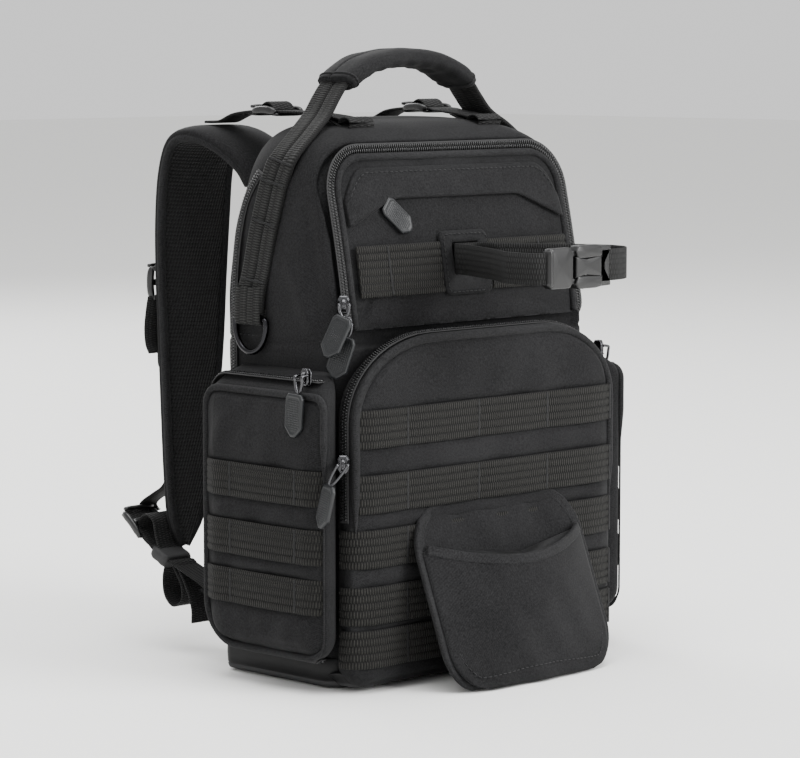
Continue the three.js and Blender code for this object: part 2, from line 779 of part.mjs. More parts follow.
// The ring's keeper: webbing folded once round the ring's bar, sewn under the carry webbing's end.
const foldR = ringBar + GAP + 0.7;
const fold = [];
const foldThick = 1.2;
fold.push([halfRun[1][0] - handleWebThick / 2 - foldThick / 2 + 0.1, halfRun[1][2]]);
for (let i = 0; i <= 6; i++) {
  const a = Math.PI + (Math.PI * i) / 6;
  fold.push([ringX + foldR * Math.cos(a), ringZ + foldR * Math.sin(a)]);
}
const onRing = ([x, z]) => [x, ringY, z];
const foldBand = planarBand(fold, onRing, [0, 1, 0], handleWebWidth - 1, foldThick);
const carryAll = carryBand.add(foldBand).add(foldBand.mirror([1, 0, 0]));
add("carry_webbing", carryAll, web);

// Grip: padded sleeve that the carry webbing runs through.
const gripSpan = 3;
const gripLine = carryLine.slice(halfRun.length - 1 - gripSpan, halfRun.length + gripSpan);
const gripRings = gripLine.map((p, i) => {
  const a = gripLine[Math.max(i - 1, 0)];
  const b = gripLine[Math.min(i + 1, gripLine.length - 1)];
  const t = unit([b[0] - a[0], 0, b[2] - a[2]]);
  const n = [-t[2], 0, t[0]];
  const end = i === 0 || i === gripLine.length - 1;
  const halfW = handleWebWidth / 2 + (end ? 3.5 : 5);
  const halfT = handleWebThick / 2 + (end ? 3.6 : 4.3);
  const section = outline(
    -halfW,
    halfW,
    -halfT,
    halfT,
    [
      [6, 4],
      [6, 4],
      [6, 4],
      [6, 4],
    ],
    0,
    3,
  );
  return section.map(([u, v]) => [p[0] + n[0] * v, p[1] + u, p[2] + n[2] * v]);
});
const carryClear = band(carryStations, handleWebWidth + 2 * GAP, handleWebThick + 2 * GAP);
add("grip", loft(gripRings).subtract(carryClear), cloth);

// D-ring: straight bar at the top, round bow below, hanging flat against the side wall.
const ringHalf = handleWebWidth / 2 + 2.1;
const ringDrop = 21;
const ringPath = [];
for (let i = 0; i <= 14; i++) {
  const a = (Math.PI * i) / 14;
  ringPath.push([ringX, ringY + ringHalf * Math.cos(a), ringZ - 3 - (ringDrop - 3) * Math.sin(a)]);
}
ringPath.push([ringX, ringY - ringHalf + 1, ringZ - 0.4]);
for (const s of [-0.86, 0, 0.86]) ringPath.push([ringX, ringY + s * ringHalf, ringZ]);
ringPath.push([ringX, ringY + ringHalf - 1, ringZ - 0.4]);
pair("d_ring", rod(ringPath, ringBar, 8, true), metal);

// Load strap: one webbing laid behind the patch's slit, its two ends meeting at the buckle.
// Columns: X, share of the way from the slit to the buckle.
const loadBackY = skinAtStrap - patchThick + 0.25;
const buckleY = loadBackY - loadReach;
const loadRows = [
  [-32, 1],
  [-41.5, 1],
  [-45.6, 0.963],
  [-48, 0.881],
  [-47, 0.753],
  [-30, 0.496],
  [-13, 0.147],
  [-10.6, 0.019],
  [-8.6, 0],
  [8.6, 0],
  [10.6, 0.019],
  [13, 0.147],
  [27, 0.349],
  [45, 0.606],
  [51, 0.753],
  [48, 0.89],
  [38, 0.972],
  [26, 0.998],
  [9, 1],
];
const loadLine = loadRows.map(([x, s]) => [x, loadBackY - s * loadReach]);
add("load_strap", planarBand(loadLine, ([x, y]) => [x, y, loadStrapZ], [0, 0, 1], loadStrapWidth, webbing), web);

// Buckle: a two-pronged plug latched in its socket, each half slotted on one end of the strap.
const plate = (pts, half) => frontPrism(pts.map(([x, z]) => [x, z + loadStrapZ]), buckleY - half, buckleY + half);
const block = (x0, x1, half, z0, z1) => box(x0, x1, buckleY - half, buckleY + half, loadStrapZ + z0, loadStrapZ + z1);
const strapSlot = (x0, x1) => block(x0, x1, webbing / 2 + GAP, -loadStrapWidth / 2 - GAP, loadStrapWidth / 2 + GAP);
const buckleHalf = loadStrapWidth / 2;
const socketPts = [
  [-16, -buckleHalf + 1],
  [-14, -buckleHalf - 3.5],
  [8, -buckleHalf - 3.5],
  [12, -buckleHalf - 2.6],
  [17, -buckleHalf - 2.6],
  [17, buckleHalf + 2.6],
  [12, buckleHalf + 2.6],
  [8, buckleHalf + 3.5],
  [-14, buckleHalf + 3.5],
  [-16, buckleHalf - 1],
];
const socket = plate(socketPts, 3.7)
  .subtract(block(-30, 2, 1.8, -buckleHalf - 1, buckleHalf + 1))
  .subtract(block(-9, 0, 1.8, -30, 30))
  .subtract(strapSlot(7.6, 30));
add("buckle_socket", socket, plastic);
const plugPts = [
  [-40, -buckleHalf],
  [-38, -buckleHalf - 2.6],
  [-20, -buckleHalf - 2.6],
  [-18, -buckleHalf],
  [-18, buckleHalf],
  [-20, buckleHalf + 2.6],
  [-38, buckleHalf + 2.6],
  [-40, buckleHalf],
];
const prong = [buckleHalf - 3.6, buckleHalf + 0.4, buckleHalf + 4];
const plug = plate(plugPts, 3.2)
  .add(block(-20, -2, 1.4, -prong[1], -prong[0]))
  .add(block(-20, -2, 1.4, prong[0], prong[1]))
  .add(block(-20, 0, 1.4, -2.4, 2.4))
  .add(block(-8.4, -2, 1.4, -prong[2], -prong[0]))
  .add(block(-8.4, -2, 1.4, prong[0], prong[2]))
  .subtract(strapSlot(-50, -30.6));
add("buckle_plug", plug, plastic);

// Pouch for the load's foot: back sheet, front sheet, the two joined by their bound edge.
const pouchHalf = 74;
const pouchFoot = 1;
const pouchBackTop = frontRowCentres[1] - rowWidth / 2 - 0.75;
const pouchFrontTop = pouchBackTop - 25;
const pouchLeanTop = -pocketFace - 0.5;
const pouchLeanFoot = pouchLeanTop - 43.5;
const pouchFootCorner = 26;
function sheetAt(u, z, lift, bulge) {
  const s = z / pouchBackTop;
  const y = pouchLeanFoot + (pouchLeanTop - pouchLeanFoot) * s;
  const side = 1 - (Math.abs(u) / pouchHalf) ** 2;
  return y - lift - bulge * Math.max(side, 0) * Math.sin(Math.min(s * 1.3 + 0.25, 1.45));
}
function pouchSheet(top, lift, bulge, thick, corner, sag) {
  const cols = 12;
  const rows = 7;
  const grid = (front) => {
    const out = [];
    for (let r = 0; r <= rows; r++) {
      for (let c = 0; c <= cols; c++) {
        const s = r / rows;
        const k = (2 * c) / cols - 1;
        const foot = pouchFootCorner;
        const head = corner;
        const high = top - pouchFoot;
        const zRaw = high * s;
        const footPinch = zRaw < foot ? foot - Math.sqrt(Math.max(foot ** 2 - (foot - zRaw) ** 2, 0)) : 0;
        const up = high - zRaw;
        const headPinch = up < head ? head - Math.sqrt(Math.max(head ** 2 - (head - up) ** 2, 0)) : 0;
        const half = pouchHalf - Math.max(footPinch, headPinch);
        const x = k * half;
        const dip = sag * s ** 2 * (1 - k ** 2);
        const z = pouchFoot + zRaw - dip;
        out.push([x, sheetAt(x, z, lift + (front ? thick : 0), bulge), z]);
      }
    }
    return out;
  };
  const back = grid(false);
  const front = grid(true);
  const points = [...back, ...front];
  const n = back.length;
  const faces = [];
  const at = (r, c) => r * (cols + 1) + c;
  for (let r = 0; r < rows; r++) {
    for (let c = 0; c < cols; c++) {
      const [a, b, d, e] = [at(r, c), at(r, c + 1), at(r + 1, c + 1), at(r + 1, c)];
      faces.push([a, b, d], [a, d, e]);
      faces.push([n + a, n + d, n + b], [n + a, n + e, n + d]);
    }
  }
  const rim = [];
  for (let c = 0; c < cols; c++) rim.push(at(0, c));
  for (let r = 0; r < rows; r++) rim.push(at(r, cols));
  for (let c = cols; c > 0; c--) rim.push(at(rows, c));
  for (let r = rows; r > 0; r--) rim.push(at(r, 0));
  rim.forEach((a, i) => {
    const b = rim[(i + 1) % rim.length];
    faces.push([a, n + b, b], [a, n + a, n + b]);
  });
  return solid(points, faces);
}
add("pouch_back", pouchSheet(pouchBackTop, 0, 0, 1.6, 30, 0), cloth);
add("pouch_front", pouchSheet(pouchFrontTop, 2.0, 22, 1.6, 3, 10), cloth);

// Zip sliders with wire bails, and the moulded pulls that hang from them.
function pull(length, width, thick) {
  const pts = [
    [-width * 0.36, 0],
    [width * 0.36, 0],
    [width / 2, -3],
    [width / 2, -length + width * 0.42],
    [0, -length],
    [-width / 2, -length + width * 0.42],
    [-width / 2, -3],
  ];
  return frontPrism(pts, -thick / 2, thick / 2);
}
function sliderWithBail(drop, reach, shift) {
  const slider = box(-3.6, 3.6, -4.4, -0.6, -5.5, 5.5);
  const wire = [];
  for (let i = 0; i <= 8; i++) {
    const a = Math.PI * (i / 8);
    wire.push([3.2 * Math.cos(a) - shift * Math.sin(a), -reach, 1 - drop * Math.sin(a)]);
  }
  const bail = rod([[3.2, -3.6, 2], ...wire, [-3.2, -3.6, 2]], 0.9, 6);
  return slider.add(bail);
}
function hungPull(drop, reach, tilt, shift) {
  return pull(pullLength, pullWidth, pullThick)
    .rotate([0, tilt, 0])
    .translate([-shift, -reach - 2.8, -drop + 1.6]);
}
// Each: name, where it sits, turn about the upright axis, the bail's drop, reach and sideways
// shift, and the tilt of its pull.
const onZip = (up, out) => [-panelHalf - 6, frontAt(panelFoot + up) - out, panelFoot + up];
const sliderSet = [
  ["main_upper", onZip(17, 0.2), -42, 8, 13, 0, 24],
  ["main_lower", onZip(4, 0.6), -42, 8, 5.6, 0, 17],
  [
    "front",
    [-pocketHalfWidth - 3, -(bodyFront + GAP + pocketDepth * 0.66), pocketTop * 0.655],
    -45,
    13,
    12.5,
    8,
    12,
  ],
];
for (const [name, at, turn, drop, reach, shift, tilt] of sliderSet) {
  const slider = sliderWithBail(drop, reach, shift);
  add("slider_" + name, slider.rotate([0, 0, turn]).translate(at), metal);
  const tab = hungPull(drop, reach, tilt, shift);
  add("pull_" + name, tab.rotate([0, 0, turn]).translate(at), rubber);
}
const sideSliderAt = [-sideFace + 5.4, -sideFront + 20, sideTop - 3.4];
pair("slider_side", sliderWithBail(11, 9, 0).rotate([0, 0, -90]).translate(sideSliderAt), metal);
pair("pull_side", hungPull(11, 9, 4, 0).rotate([0, 0, -90]).translate(sideSliderAt), rubber);
const flapPullTop = panelWebTop + pullLength - 2.5;
const flapPull = pull(pullLength, pullWidth - 0.5, pullThick - 0.6)
  .rotate([0, -48, 0])
  .rotate([-11, 0, 0])
  .translate([-flapHalf * 0.667, frontAt(flapPullTop - 5.5) - 3.2, flapPullTop]);
add("pull_flap", flapPull, rubber);

export default group;
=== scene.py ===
import bpy
import numpy as np
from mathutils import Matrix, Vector


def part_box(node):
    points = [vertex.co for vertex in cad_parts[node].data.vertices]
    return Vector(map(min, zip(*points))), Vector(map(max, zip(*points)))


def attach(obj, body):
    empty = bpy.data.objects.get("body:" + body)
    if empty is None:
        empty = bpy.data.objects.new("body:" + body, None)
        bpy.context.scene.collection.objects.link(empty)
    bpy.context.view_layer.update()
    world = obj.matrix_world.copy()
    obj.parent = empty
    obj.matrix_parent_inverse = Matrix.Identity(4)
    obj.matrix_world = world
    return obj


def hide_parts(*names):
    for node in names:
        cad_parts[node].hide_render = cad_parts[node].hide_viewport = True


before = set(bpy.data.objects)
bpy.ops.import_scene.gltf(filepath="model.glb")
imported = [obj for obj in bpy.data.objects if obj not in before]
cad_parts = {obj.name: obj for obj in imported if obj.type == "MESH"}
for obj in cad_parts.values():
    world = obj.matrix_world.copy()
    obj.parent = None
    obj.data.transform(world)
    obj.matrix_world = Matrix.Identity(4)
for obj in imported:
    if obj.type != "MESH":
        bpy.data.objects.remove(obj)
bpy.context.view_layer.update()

# Camera
# A long lens a little above the bag's middle, 45 degrees off its front. Shapes below are worked
# out in millimetres and put into metres when their mesh is made.
MM = 0.001
VIEW_TARGET = Vector((4.3, -5.2, 183.9)) * MM
VIEW_AZIMUTH = np.radians(-45.0)
VIEW_ELEVATION = np.radians(6.0)
VIEW_DISTANCE = 2.1333
LENS = 144.0

toward = Vector((
    np.sin(VIEW_AZIMUTH) * np.cos(VIEW_ELEVATION),
    -np.cos(VIEW_AZIMUTH) * np.cos(VIEW_ELEVATION),
    np.sin(VIEW_ELEVATION),
))
camera = bpy.data.objects.new("camera", bpy.data.cameras.new("camera"))
camera.data.lens = LENS
camera.data.clip_end = 50.0
camera.location = VIEW_TARGET + toward * VIEW_DISTANCE
camera.rotation_euler = toward.to_track_quat("Z", "Y").to_euler()
bpy.context.scene.collection.objects.link(camera)
bpy.context.scene.camera = camera


# Light and floor
# Large soft panels: the key from the right of the camera, a weaker one from the left, one above
# and one behind, over a plain pale floor in a pale room.
def linear(code):
    """sRGB hex to linear RGBA: above 0.04045 each share is ((c + 0.055) / 1.055) ** 2.4."""
    c = np.array([int(code[i:i + 2], 16) for i in (1, 3, 5)]) / 255
    c = np.where(c <= 0.04045, c / 12.92, ((c + 0.055) / 1.055) ** 2.4)
    return (*c.tolist(), 1.0)


def node(tree, kind, inputs=None, **settings):
    """Adds one node: settings are its properties, inputs its sockets by value or by link."""
    made = tree.nodes.new(kind)
    for key, value in settings.items():
        setattr(made, key, value)
    for key, value in (inputs or {}).items():
        if isinstance(value, bpy.types.NodeSocket):
            tree.links.new(value, made.inputs[key])
        else:
            made.inputs[key].default_value = value
    return made


def noise(tree, place, scale, detail):
    """Smooth chance values round a half; a larger scale makes them finer."""
    return node(tree, "ShaderNodeTexNoise", {"Vector": place, "Scale": scale, "Detail": detail}).outputs[0]


def stretched(tree, value, low, high, to_low=0.0, to_high=1.0):
    """A value stretched from one range to another and held inside it."""
    return node(tree, "ShaderNodeMapRange", {
        "Value": value, "From Min": low, "From Max": high, "To Min": to_low, "To Max": to_high}).outputs[0]


def raised_by(tree, shader, height, strength, distance):
    """Bump: the surface is lit as if it rose by height times distance in metres."""
    raised = node(tree, "ShaderNodeBump", {"Height": height, "Strength": strength, "Distance": distance})
    tree.links.new(raised.outputs[0], shader.inputs["Normal"])


PANELS = {
    "key": ((1.0, -2.6, 1.4), 1.8, 130.0),
    "fill": ((-2.8, -0.5, 1.0), 2.0, 12.0),
    "above": ((-0.3, -0.2, 2.6), 2.0, 80.0),
    "behind": ((0.6, 2.4, 1.6), 1.6, 50.0),
}
for title, (place, size, power) in PANELS.items():
    lamp = bpy.data.objects.new("light_" + title, bpy.data.lights.new("light_" + title, "AREA"))
    lamp.data.size = size
    lamp.data.energy = power
    lamp.location = place
    aim = Vector(place) - Vector((0.0, 0.0, 0.2))
    lamp.rotation_euler = aim.to_track_quat("Z", "Y").to_euler()
    bpy.context.scene.collection.objects.link(lamp)

room = bpy.data.worlds.new("pale_room")
room.use_nodes = True
room.node_tree.nodes["Background"].inputs["Color"].default_value = (1.0, 1.0, 1.0, 1.0)
room.node_tree.nodes["Background"].inputs["Strength"].default_value = 1.0
bpy.context.scene.world = room


def new_material(name, inputs):
    """A material with one Principled shader; uniform numbers go straight on its sockets."""
    made = bpy.data.materials.new(name)
    made.use_nodes = True
    shader = made.node_tree.nodes["Principled BSDF"]
    for key, value in inputs.items():
        shader.inputs[key].default_value = value
    return made, made.node_tree, shader


def fine_grain(tree, shader, scale, height):
    """Faint unevenness: one noise moves the roughness a little and raises a shallow grain."""
    rough = shader.inputs["Roughness"].default_value
    place = node(tree, "ShaderNodeTexCoord").outputs["Object"]
    grain = noise(tree, place, scale, 2.0)
    tree.links.new(stretched(tree, grain, 0.3, 0.7, rough - 0.06, rough + 0.06), shader.inputs["Roughness"])
    raised_by(tree, shader, grain, 0.1, height)


floor_paint, tree, shader = new_material("matt_white_floor_paint", {
    "Base Color": linear("#f4f4f2"),
    "Roughness": 0.9,
})
fine_grain(tree, shader, 60.0, 0.0001)
FLOOR_HALF = 12.0
floor_mesh = bpy.data.meshes.new("floor")
floor_mesh.from_pydata(
    [(-FLOOR_HALF, -FLOOR_HALF, 0), (FLOOR_HALF, -FLOOR_HALF, 0),
     (FLOOR_HALF, FLOOR_HALF, 0), (-FLOOR_HALF, FLOOR_HALF, 0)], [], [(0, 1, 2, 3)])
floor_mesh.materials.append(floor_paint)
floor = bpy.data.objects.new("floor", floor_mesh)
floor.location.z = -0.0005
bpy.context.scene.collection.objects.link(floor)


# Body
# The bag's box: foam between two layers of black nylon, sewn to a soft block that leans back
# above the front pocket and is domed on top. Its sizes are read from the frame.
def box_mm(name):
    """Lowest and highest corner of a frame node in millimetres."""
    low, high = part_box(name)
    return np.array(low) / MM, np.array(high) / MM


body_low, body_high = box_mm("main_body")
HALF_WIDTH = body_high[0]
FRONT = -body_low[1]
BACK = body_high[1]
BASE = body_low[2]
CROWN = body_high[2]
POCKET_TOP = box_mm("front_pocket")[1][2]
FOLD = POCKET_TOP - 2.2
# Columns: level (0 foot, 1 fold, 2 crown), half width, front, back, front radius, back radius,
# as shares of the body's sizes, the radii of BACK.
BODY_ROWS = np.array([
    [0.0, 0.965, 0.95, 0.88, 0.36, 0.3],
    [0.05, 1, 1, 1, 0.42, 0.24],
    [0.5, 1, 1, 1, 0.42, 0.24],
    [1.0, 1, 1, 1, 0.42, 0.24],
    [1.22, 0.995, 0.945, 1, 0.39, 0.27],
    [1.44, 0.983, 0.87, 1, 0.36, 0.33],
    [1.635, 0.958, 0.79, 1, 0.36, 0.6],
    [1.77, 0.92, 0.73, 1, 0.36, 0.76],
    [1.873, 0.842, 0.67, 0.97, 0.42, 0.85],
    [1.943, 0.725, 0.56, 0.88, 0.48, 0.79],
    [1.982, 0.56, 0.38, 0.7, 0.42, 0.55],
    [2.0, 0.39, 0.12, 0.46, 0.21, 0.24],
])


def smooth_rows(rows, steps):
    """Catmull-Rom: each span is a cubic whose slope at a row is half the step between the rows
    on either side of it, cut in equal parts."""
    r = np.vstack([2 * rows[0] - rows[1], rows, 2 * rows[-1] - rows[-2]])
    a, b, c, d = (r[k:len(r) - 3 + k, None] for k in range(4))
    t = (np.arange(steps) / steps)[None, :, None]
    cubic = (2 * b + (c - a) * t + (2 * a - 5 * b + 4 * c - d) * t**2 + (3 * b - a - 3 * c + d) * t**3) / 2
    return np.vstack([cubic.reshape(-1, rows.shape[1]), rows[-1:]])


def run_length(points):
    """Distance walked along a row of points, from its first."""
    step = np.linalg.norm(np.diff(points, axis=0), axis=-1)
    return np.concatenate([[0.0], np.cumsum(step)])


def sample(points, along, at):
    """Points at given distances along a run, straight between its own."""
    return np.stack([np.interp(at, along, column) for column in points.T], -1)


def xyz(x, y, z):
    """Points out of three runs of numbers, any of which may be a single number."""
    return np.stack(np.broadcast_arrays(x, y, z), -1).astype(float)


def even(points, pitch, columns=None):
    """The same run with even steps of about one pitch; columns picks what counts as distance."""
    along = run_length(points if columns is None else points[:, columns])
    return sample(points, along, np.linspace(0, along[-1], max(int(round(along[-1] / pitch)), 2) + 1))


def smooth_path(points, pitch):
    """A smooth run through a few points, in even steps."""
    return even(smooth_rows(np.array(points, float), 12), pitch)


def unit(v):
    """Vectors divided by their own length."""
    return v / np.maximum(np.linalg.norm(v, axis=-1, keepdims=True), 1e-9)


scale = [1, HALF_WIDTH, FRONT, BACK, BACK, BACK]
body_curve = smooth_rows(BODY_ROWS, 16) * scale
body_curve[:, 0] = np.interp(body_curve[:, 0], [0, 1, 2], [BASE, FOLD, CROWN])
body_curve[:, 0] = np.maximum.accumulate(body_curve[:, 0])


def front_y(z):
    """Y of the body's front skin at a height."""
    return -np.interp(z, body_curve[:, 0], body_curve[:, 2])


def side_x(z):
    """Half width of the body's skin at a height."""
    return np.interp(z, body_curve[:, 0], body_curve[:, 1])


def box_ring(half, front, back, rf, rb, counts):
    """Level outline of a box with round corners, from the middle of the back and round by its
    left side: straight stretches and quarter circles, each with its own count of points."""
    half, front, back, rf, rb = (np.atleast_1d(v)[:, None] for v in (half, front, back, rf, rb))
    n_back, n_side, n_front, n_turn = counts
    share = lambda n: (np.arange(n) / n)[None]
    quarter = lambda n: np.pi / 2 * share(n)
    x = [
        -share(n_back) * (half - rb),
        -(half - rb) - rb * np.sin(quarter(n_turn)),
        -half + 0 * share(n_side),
        -(half - rf) - rf * np.cos(quarter(n_turn)),
        -(half - rf) + share(n_front) * (half - rf),
    ]
    y = [
        back + 0 * share(n_back),
        back - rb + rb * np.cos(quarter(n_turn)),
        back - rb - share(n_side) * (back - rb + front - rf),
        -(front - rf) - rf * np.sin(quarter(n_turn)),
        -front + 0 * share(n_front),
    ]
    x, y = np.hstack(x), np.hstack(y)
    mirror_x = np.hstack([0 * x[:, :1], -x[:, :0:-1]])
    mirror_y = np.hstack([-front, y[:, :0:-1]])
    return np.stack([np.hstack([x, mirror_x]), np.hstack([y, mirror_y])], -1)


def swell(points, size, amount, seed):
    """Soft unevenness: twelve sine waves of chance direction and about one length, summed."""
    rng = np.random.default_rng(seed)
    waves = unit(rng.normal(size=(12, 3))) * (2 * np.pi / size) * rng.uniform(0.6, 1.5, (12, 1))
    phase = rng.uniform(0, 2 * np.pi, 12)
    return amount * np.sin(points @ waves.T + phase).sum(-1) / 3.5


def crease(u, v, start, end, depth, width):
    """A furrow along a straight line: depth times a bell curve of the distance to the line."""
    start, end = np.array(start, float), np.array(end, float)
    run = end - start
    t = np.clip(((u - start[0]) * run[0] + (v - start[1]) * run[1]) / (run @ run), 0, 1)
    gap = np.hypot(u - start[0] - t * run[0], v - start[1] - t * run[1])
    fade = np.sin(np.pi * np.clip(t * 0.92 + 0.04, 0, 1)) ** 0.5
    return depth * fade * np.exp(-((gap / width) ** 2))


def skin(grid, loop=False, weave=None):
    """Quads between neighbours of a grid that is closed round its columns. The first and last
    row are closed by a fan to their middle, or joined when it loops."""
    rows, cols = grid.shape[:2]
    at = np.arange(rows * cols).reshape(rows, cols)
    up = at if loop else at[:-1]
    down = np.roll(at, -1, 0) if loop else at[1:]
    quads = np.stack([up, down, np.roll(down, -1, 1), np.roll(up, -1, 1)], -1).reshape(-1, 4)
    if weave is None:
        middle = grid[:, cols // 4]
        along = np.broadcast_to(run_length(middle)[:, None], (rows, cols))
        around = np.broadcast_to(run_length(grid[rows // 2])[None], (rows, cols))
        weave = np.stack([along, around, 0 * along], -1)
    points, weave = grid.reshape(-1, 3), weave.reshape(-1, 3)
    faces = [quads]
    if not loop:
        ends = [(at[0], np.roll(at[0], -1)), (np.roll(at[-1], -1), at[-1])]
        for k, (a, b) in enumerate(ends):
            faces.append(np.stack([a, b, np.full(cols, rows * cols + k)], -1))
        tips = [at[0], at[-1]]
        points = np.vstack([points] + [points[t].mean(0)[None] for t in tips])
        weave = np.vstack([weave] + [weave[t].mean(0)[None] for t in tips])
    return points, faces, weave


def facing_out(points, faces):
    """Turns a closed shell's faces round where their volume, summed from fans, is negative."""
    volume = 0.0
    for f in faces:
        p = points[f]
        for k in range(1, f.shape[1] - 1):
            volume += np.einsum("ij,ij->", p[:, 0], np.cross(p[:, k], p[:, k + 1]))
    return faces if volume > 0 else [f[:, ::-1] for f in faces]


def piece(name, shells, material, nodes=(), body="bag", mirrored=False, second=None):
    """One object out of closed shells in millimetres. It rides on a body, takes a material slot
    and may stand for frame nodes. Mirrored turns it over to the bag's right side. second gives
    another material to the points whose third weave value is over a half."""
    if isinstance(shells, tuple):
        shells = [shells]
    all_points, all_faces, all_weave, start = [], [], [], 0
    for points, faces, weave in shells:
        if mirrored:
            points = points * [-1, 1, 1]
        for f in facing_out(points, faces):
            all_faces.append(f + start)
        all_points.append(points)
        all_weave.append(weave)
        start += len(points)
    points, weave = np.vstack(all_points), np.vstack(all_weave)
    sizes = np.concatenate([np.full(len(f), f.shape[1]) for f in all_faces])
    corners = np.concatenate([f.ravel() for f in all_faces])
    starts = np.concatenate([[0], np.cumsum(sizes)[:-1]])
    mesh = bpy.data.meshes.new(name)
    mesh.vertices.add(len(points))
    mesh.vertices.foreach_set("co", (points * MM).ravel())
    mesh.loops.add(len(corners))
    mesh.loops.foreach_set("vertex_index", corners)
    mesh.polygons.add(len(sizes))
    mesh.polygons.foreach_set("loop_start", starts)
    mesh.polygons.foreach_set("use_smooth", np.ones(len(sizes), bool))
    mesh.materials.append(material)
    if second is not None:
        mesh.materials.append(second)
        index = (np.add.reduceat(weave[corners, 2], starts) / sizes > 0.5).astype(np.int32)
        mesh.polygons.foreach_set("material_index", index)
    mesh.update(calc_edges=True)
    layer = mesh.attributes.new("weave", "FLOAT_VECTOR", "POINT")
    layer.data.foreach_set("vector", weave.ravel())
    made = bpy.data.objects.new(name, mesh)
    bpy.context.scene.collection.objects.link(made)
    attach(made, body)
    if nodes:
        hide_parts(*nodes)
    return made


def both_sides(name, shells, material, stands_for=None, second=None):
    """A piece on the bag's left and its mirror image on the right, named _left and _right."""
    made = []
    for side, flip in (("left", False), ("right", True)):
        nodes = [stands_for + "_" + side] if stands_for else []
        made.append(piece(name + "_" + side, shells, material, nodes, mirrored=flip, second=second))
    return made


def calc(tree, operation, *values):
    """One Math node on up to three values, each a number or a link."""
    return node(tree, "ShaderNodeMath", dict(enumerate(values)), operation=operation).outputs[0]


def tint(tree, shader, share, dark, light):
    """Base colour between two sRGB tones by a share."""
    tone = node(tree, "ShaderNodeMix", {0: share, 6: linear(dark), 7: linear(light)}, data_type="RGBA")
    tree.links.new(tone.outputs[2], shader.inputs["Base Color"])


def woven_nylon(name, dark, light, pitch):
    """Nylon cloth in plain weave, matt and slightly grainy: sine of the threads running level
    times sine of those running up, mixed with a fine fleck and slow clouds of lighter tone."""
    made, tree, shader = new_material(name, {
        "Roughness": 0.82,
        "Sheen Weight": 0.02,
        "Sheen Roughness": 0.5,
        "Specular IOR Level": 0.14,
    })
    place = node(tree, "ShaderNodeTexCoord").outputs["Object"]
    x, y, z = node(tree, "ShaderNodeSeparateXYZ", {0: place}).outputs[:3]
    turns = 2 * np.pi / (pitch * MM)
    waves = [calc(tree, "SINE", calc(tree, "MULTIPLY", run, turns)) for run in (calc(tree, "ADD", x, y), z)]
    height = calc(tree, "MULTIPLY_ADD", calc(tree, "MULTIPLY", *waves), 0.12, noise(tree, place, 900.0, 2.0))
    share = calc(tree, "MULTIPLY_ADD", noise(tree, place, 14.0, 3.0), 0.5, height)
    tint(tree, shader, stretched(tree, share, 0.52, 1.0), dark, light)
    raised_by(tree, shader, height, 0.25, 0.0004)
    return made


# Threads are about 0.5 mm apart; they are drawn 1.4 mm apart so that they show.
body_nylon = woven_nylon("black_nylon_cloth", "#060607", "#1e1e1f", 1.4)
trim_nylon = woven_nylon("piping_nylon_cloth", "#0a0a0b", "#242425", 1.4)

body_rows = even(body_curve, 2.2, columns=[0, 1])
BODY_COUNTS = (30, 46, 52, 9)


def body_ring(rows, out):
    """The body's level outlines moved outward."""
    half, front, back, rf, rb = rows[:, 1:].T
    flat = box_ring(half + out, front + out, back + out, rf + out, rb + out, BODY_COUNTS)
    z = np.broadcast_to(rows[:, :1, None], flat.shape[:2] + (1,))
    return np.concatenate([flat, z], -1)


# The panel's outline on the front, seen straight on, and how far a point lies outside it.
PANEL_LOW, PANEL_HIGH = box_mm("front_panel")
PANEL_HALF = PANEL_HIGH[0]
PANEL_FOOT = PANEL_LOW[2]
PANEL_TOP = PANEL_HIGH[2]
PANEL_CORNER = 25.0
ZIP_BAND = 6.4


def outside_panel(x, z):
    """Distance outside the panel's outline: a box with round corners that runs on below."""
    centre = (PANEL_TOP + PANEL_FOOT - 60) / 2
    qx = np.abs(x) - (PANEL_HALF - PANEL_CORNER)
    qz = np.abs(z - centre) - (PANEL_TOP - centre - PANEL_CORNER)
    corner = np.hypot(np.maximum(qx, 0), np.maximum(qz, 0))
    return corner + np.minimum(np.maximum(qx, qz), 0) - PANEL_CORNER


def body_surface(grid):
    """Recess under the panel, slack cloth on the side walls and a seam above the side pockets."""
    x, y, z = grid[..., 0], grid[..., 1], grid[..., 2]
    outward = unit(np.stack([x / HALF_WIDTH, (y + 12) / 70, 0 * z], -1))
    at_front = np.clip((-y - 30) / 12, 0, 1)
    out = outside_panel(x, z)
    recess = 6.0 * at_front * np.clip((ZIP_BAND + 1.2 - out) / 2.5, 0, 1) * (z > POCKET_TOP - 6)
    on_side = np.clip((np.abs(x) - 0.82 * side_x(z)) / 8, 0, 1)
    wall = on_side * np.clip((z - 205) / 25, 0, 1) * np.clip((CROWN - 12 - z) / 40, 0, 1)
    loose = 2.2 * wall * np.sin(np.pi * np.clip((y + 62) / 84, 0, 1))
    for a, b, deep, wide in (
        ((-46, 300), (-58, 232), -3.2, 8),
        ((-30, 262), (-52, 226), 2.2, 6),
        ((20, 250), (24, 330), -2.0, 9),
        ((-60, 330), (-52, 290), 2.0, 7),
    ):
        loose = loose + wall * crease(y, z, a, b, deep, wide)
    seam = on_side * 0.9 * np.exp(-(((z - 218) / 1.1) ** 2))
    uneven = swell(grid, 55, 0.7, 3) * np.clip((z - 60) / 60, 0, 1)
    grid = grid + outward * (loose - seam + uneven)[..., None]
    grid[..., 1] += recess
    return grid


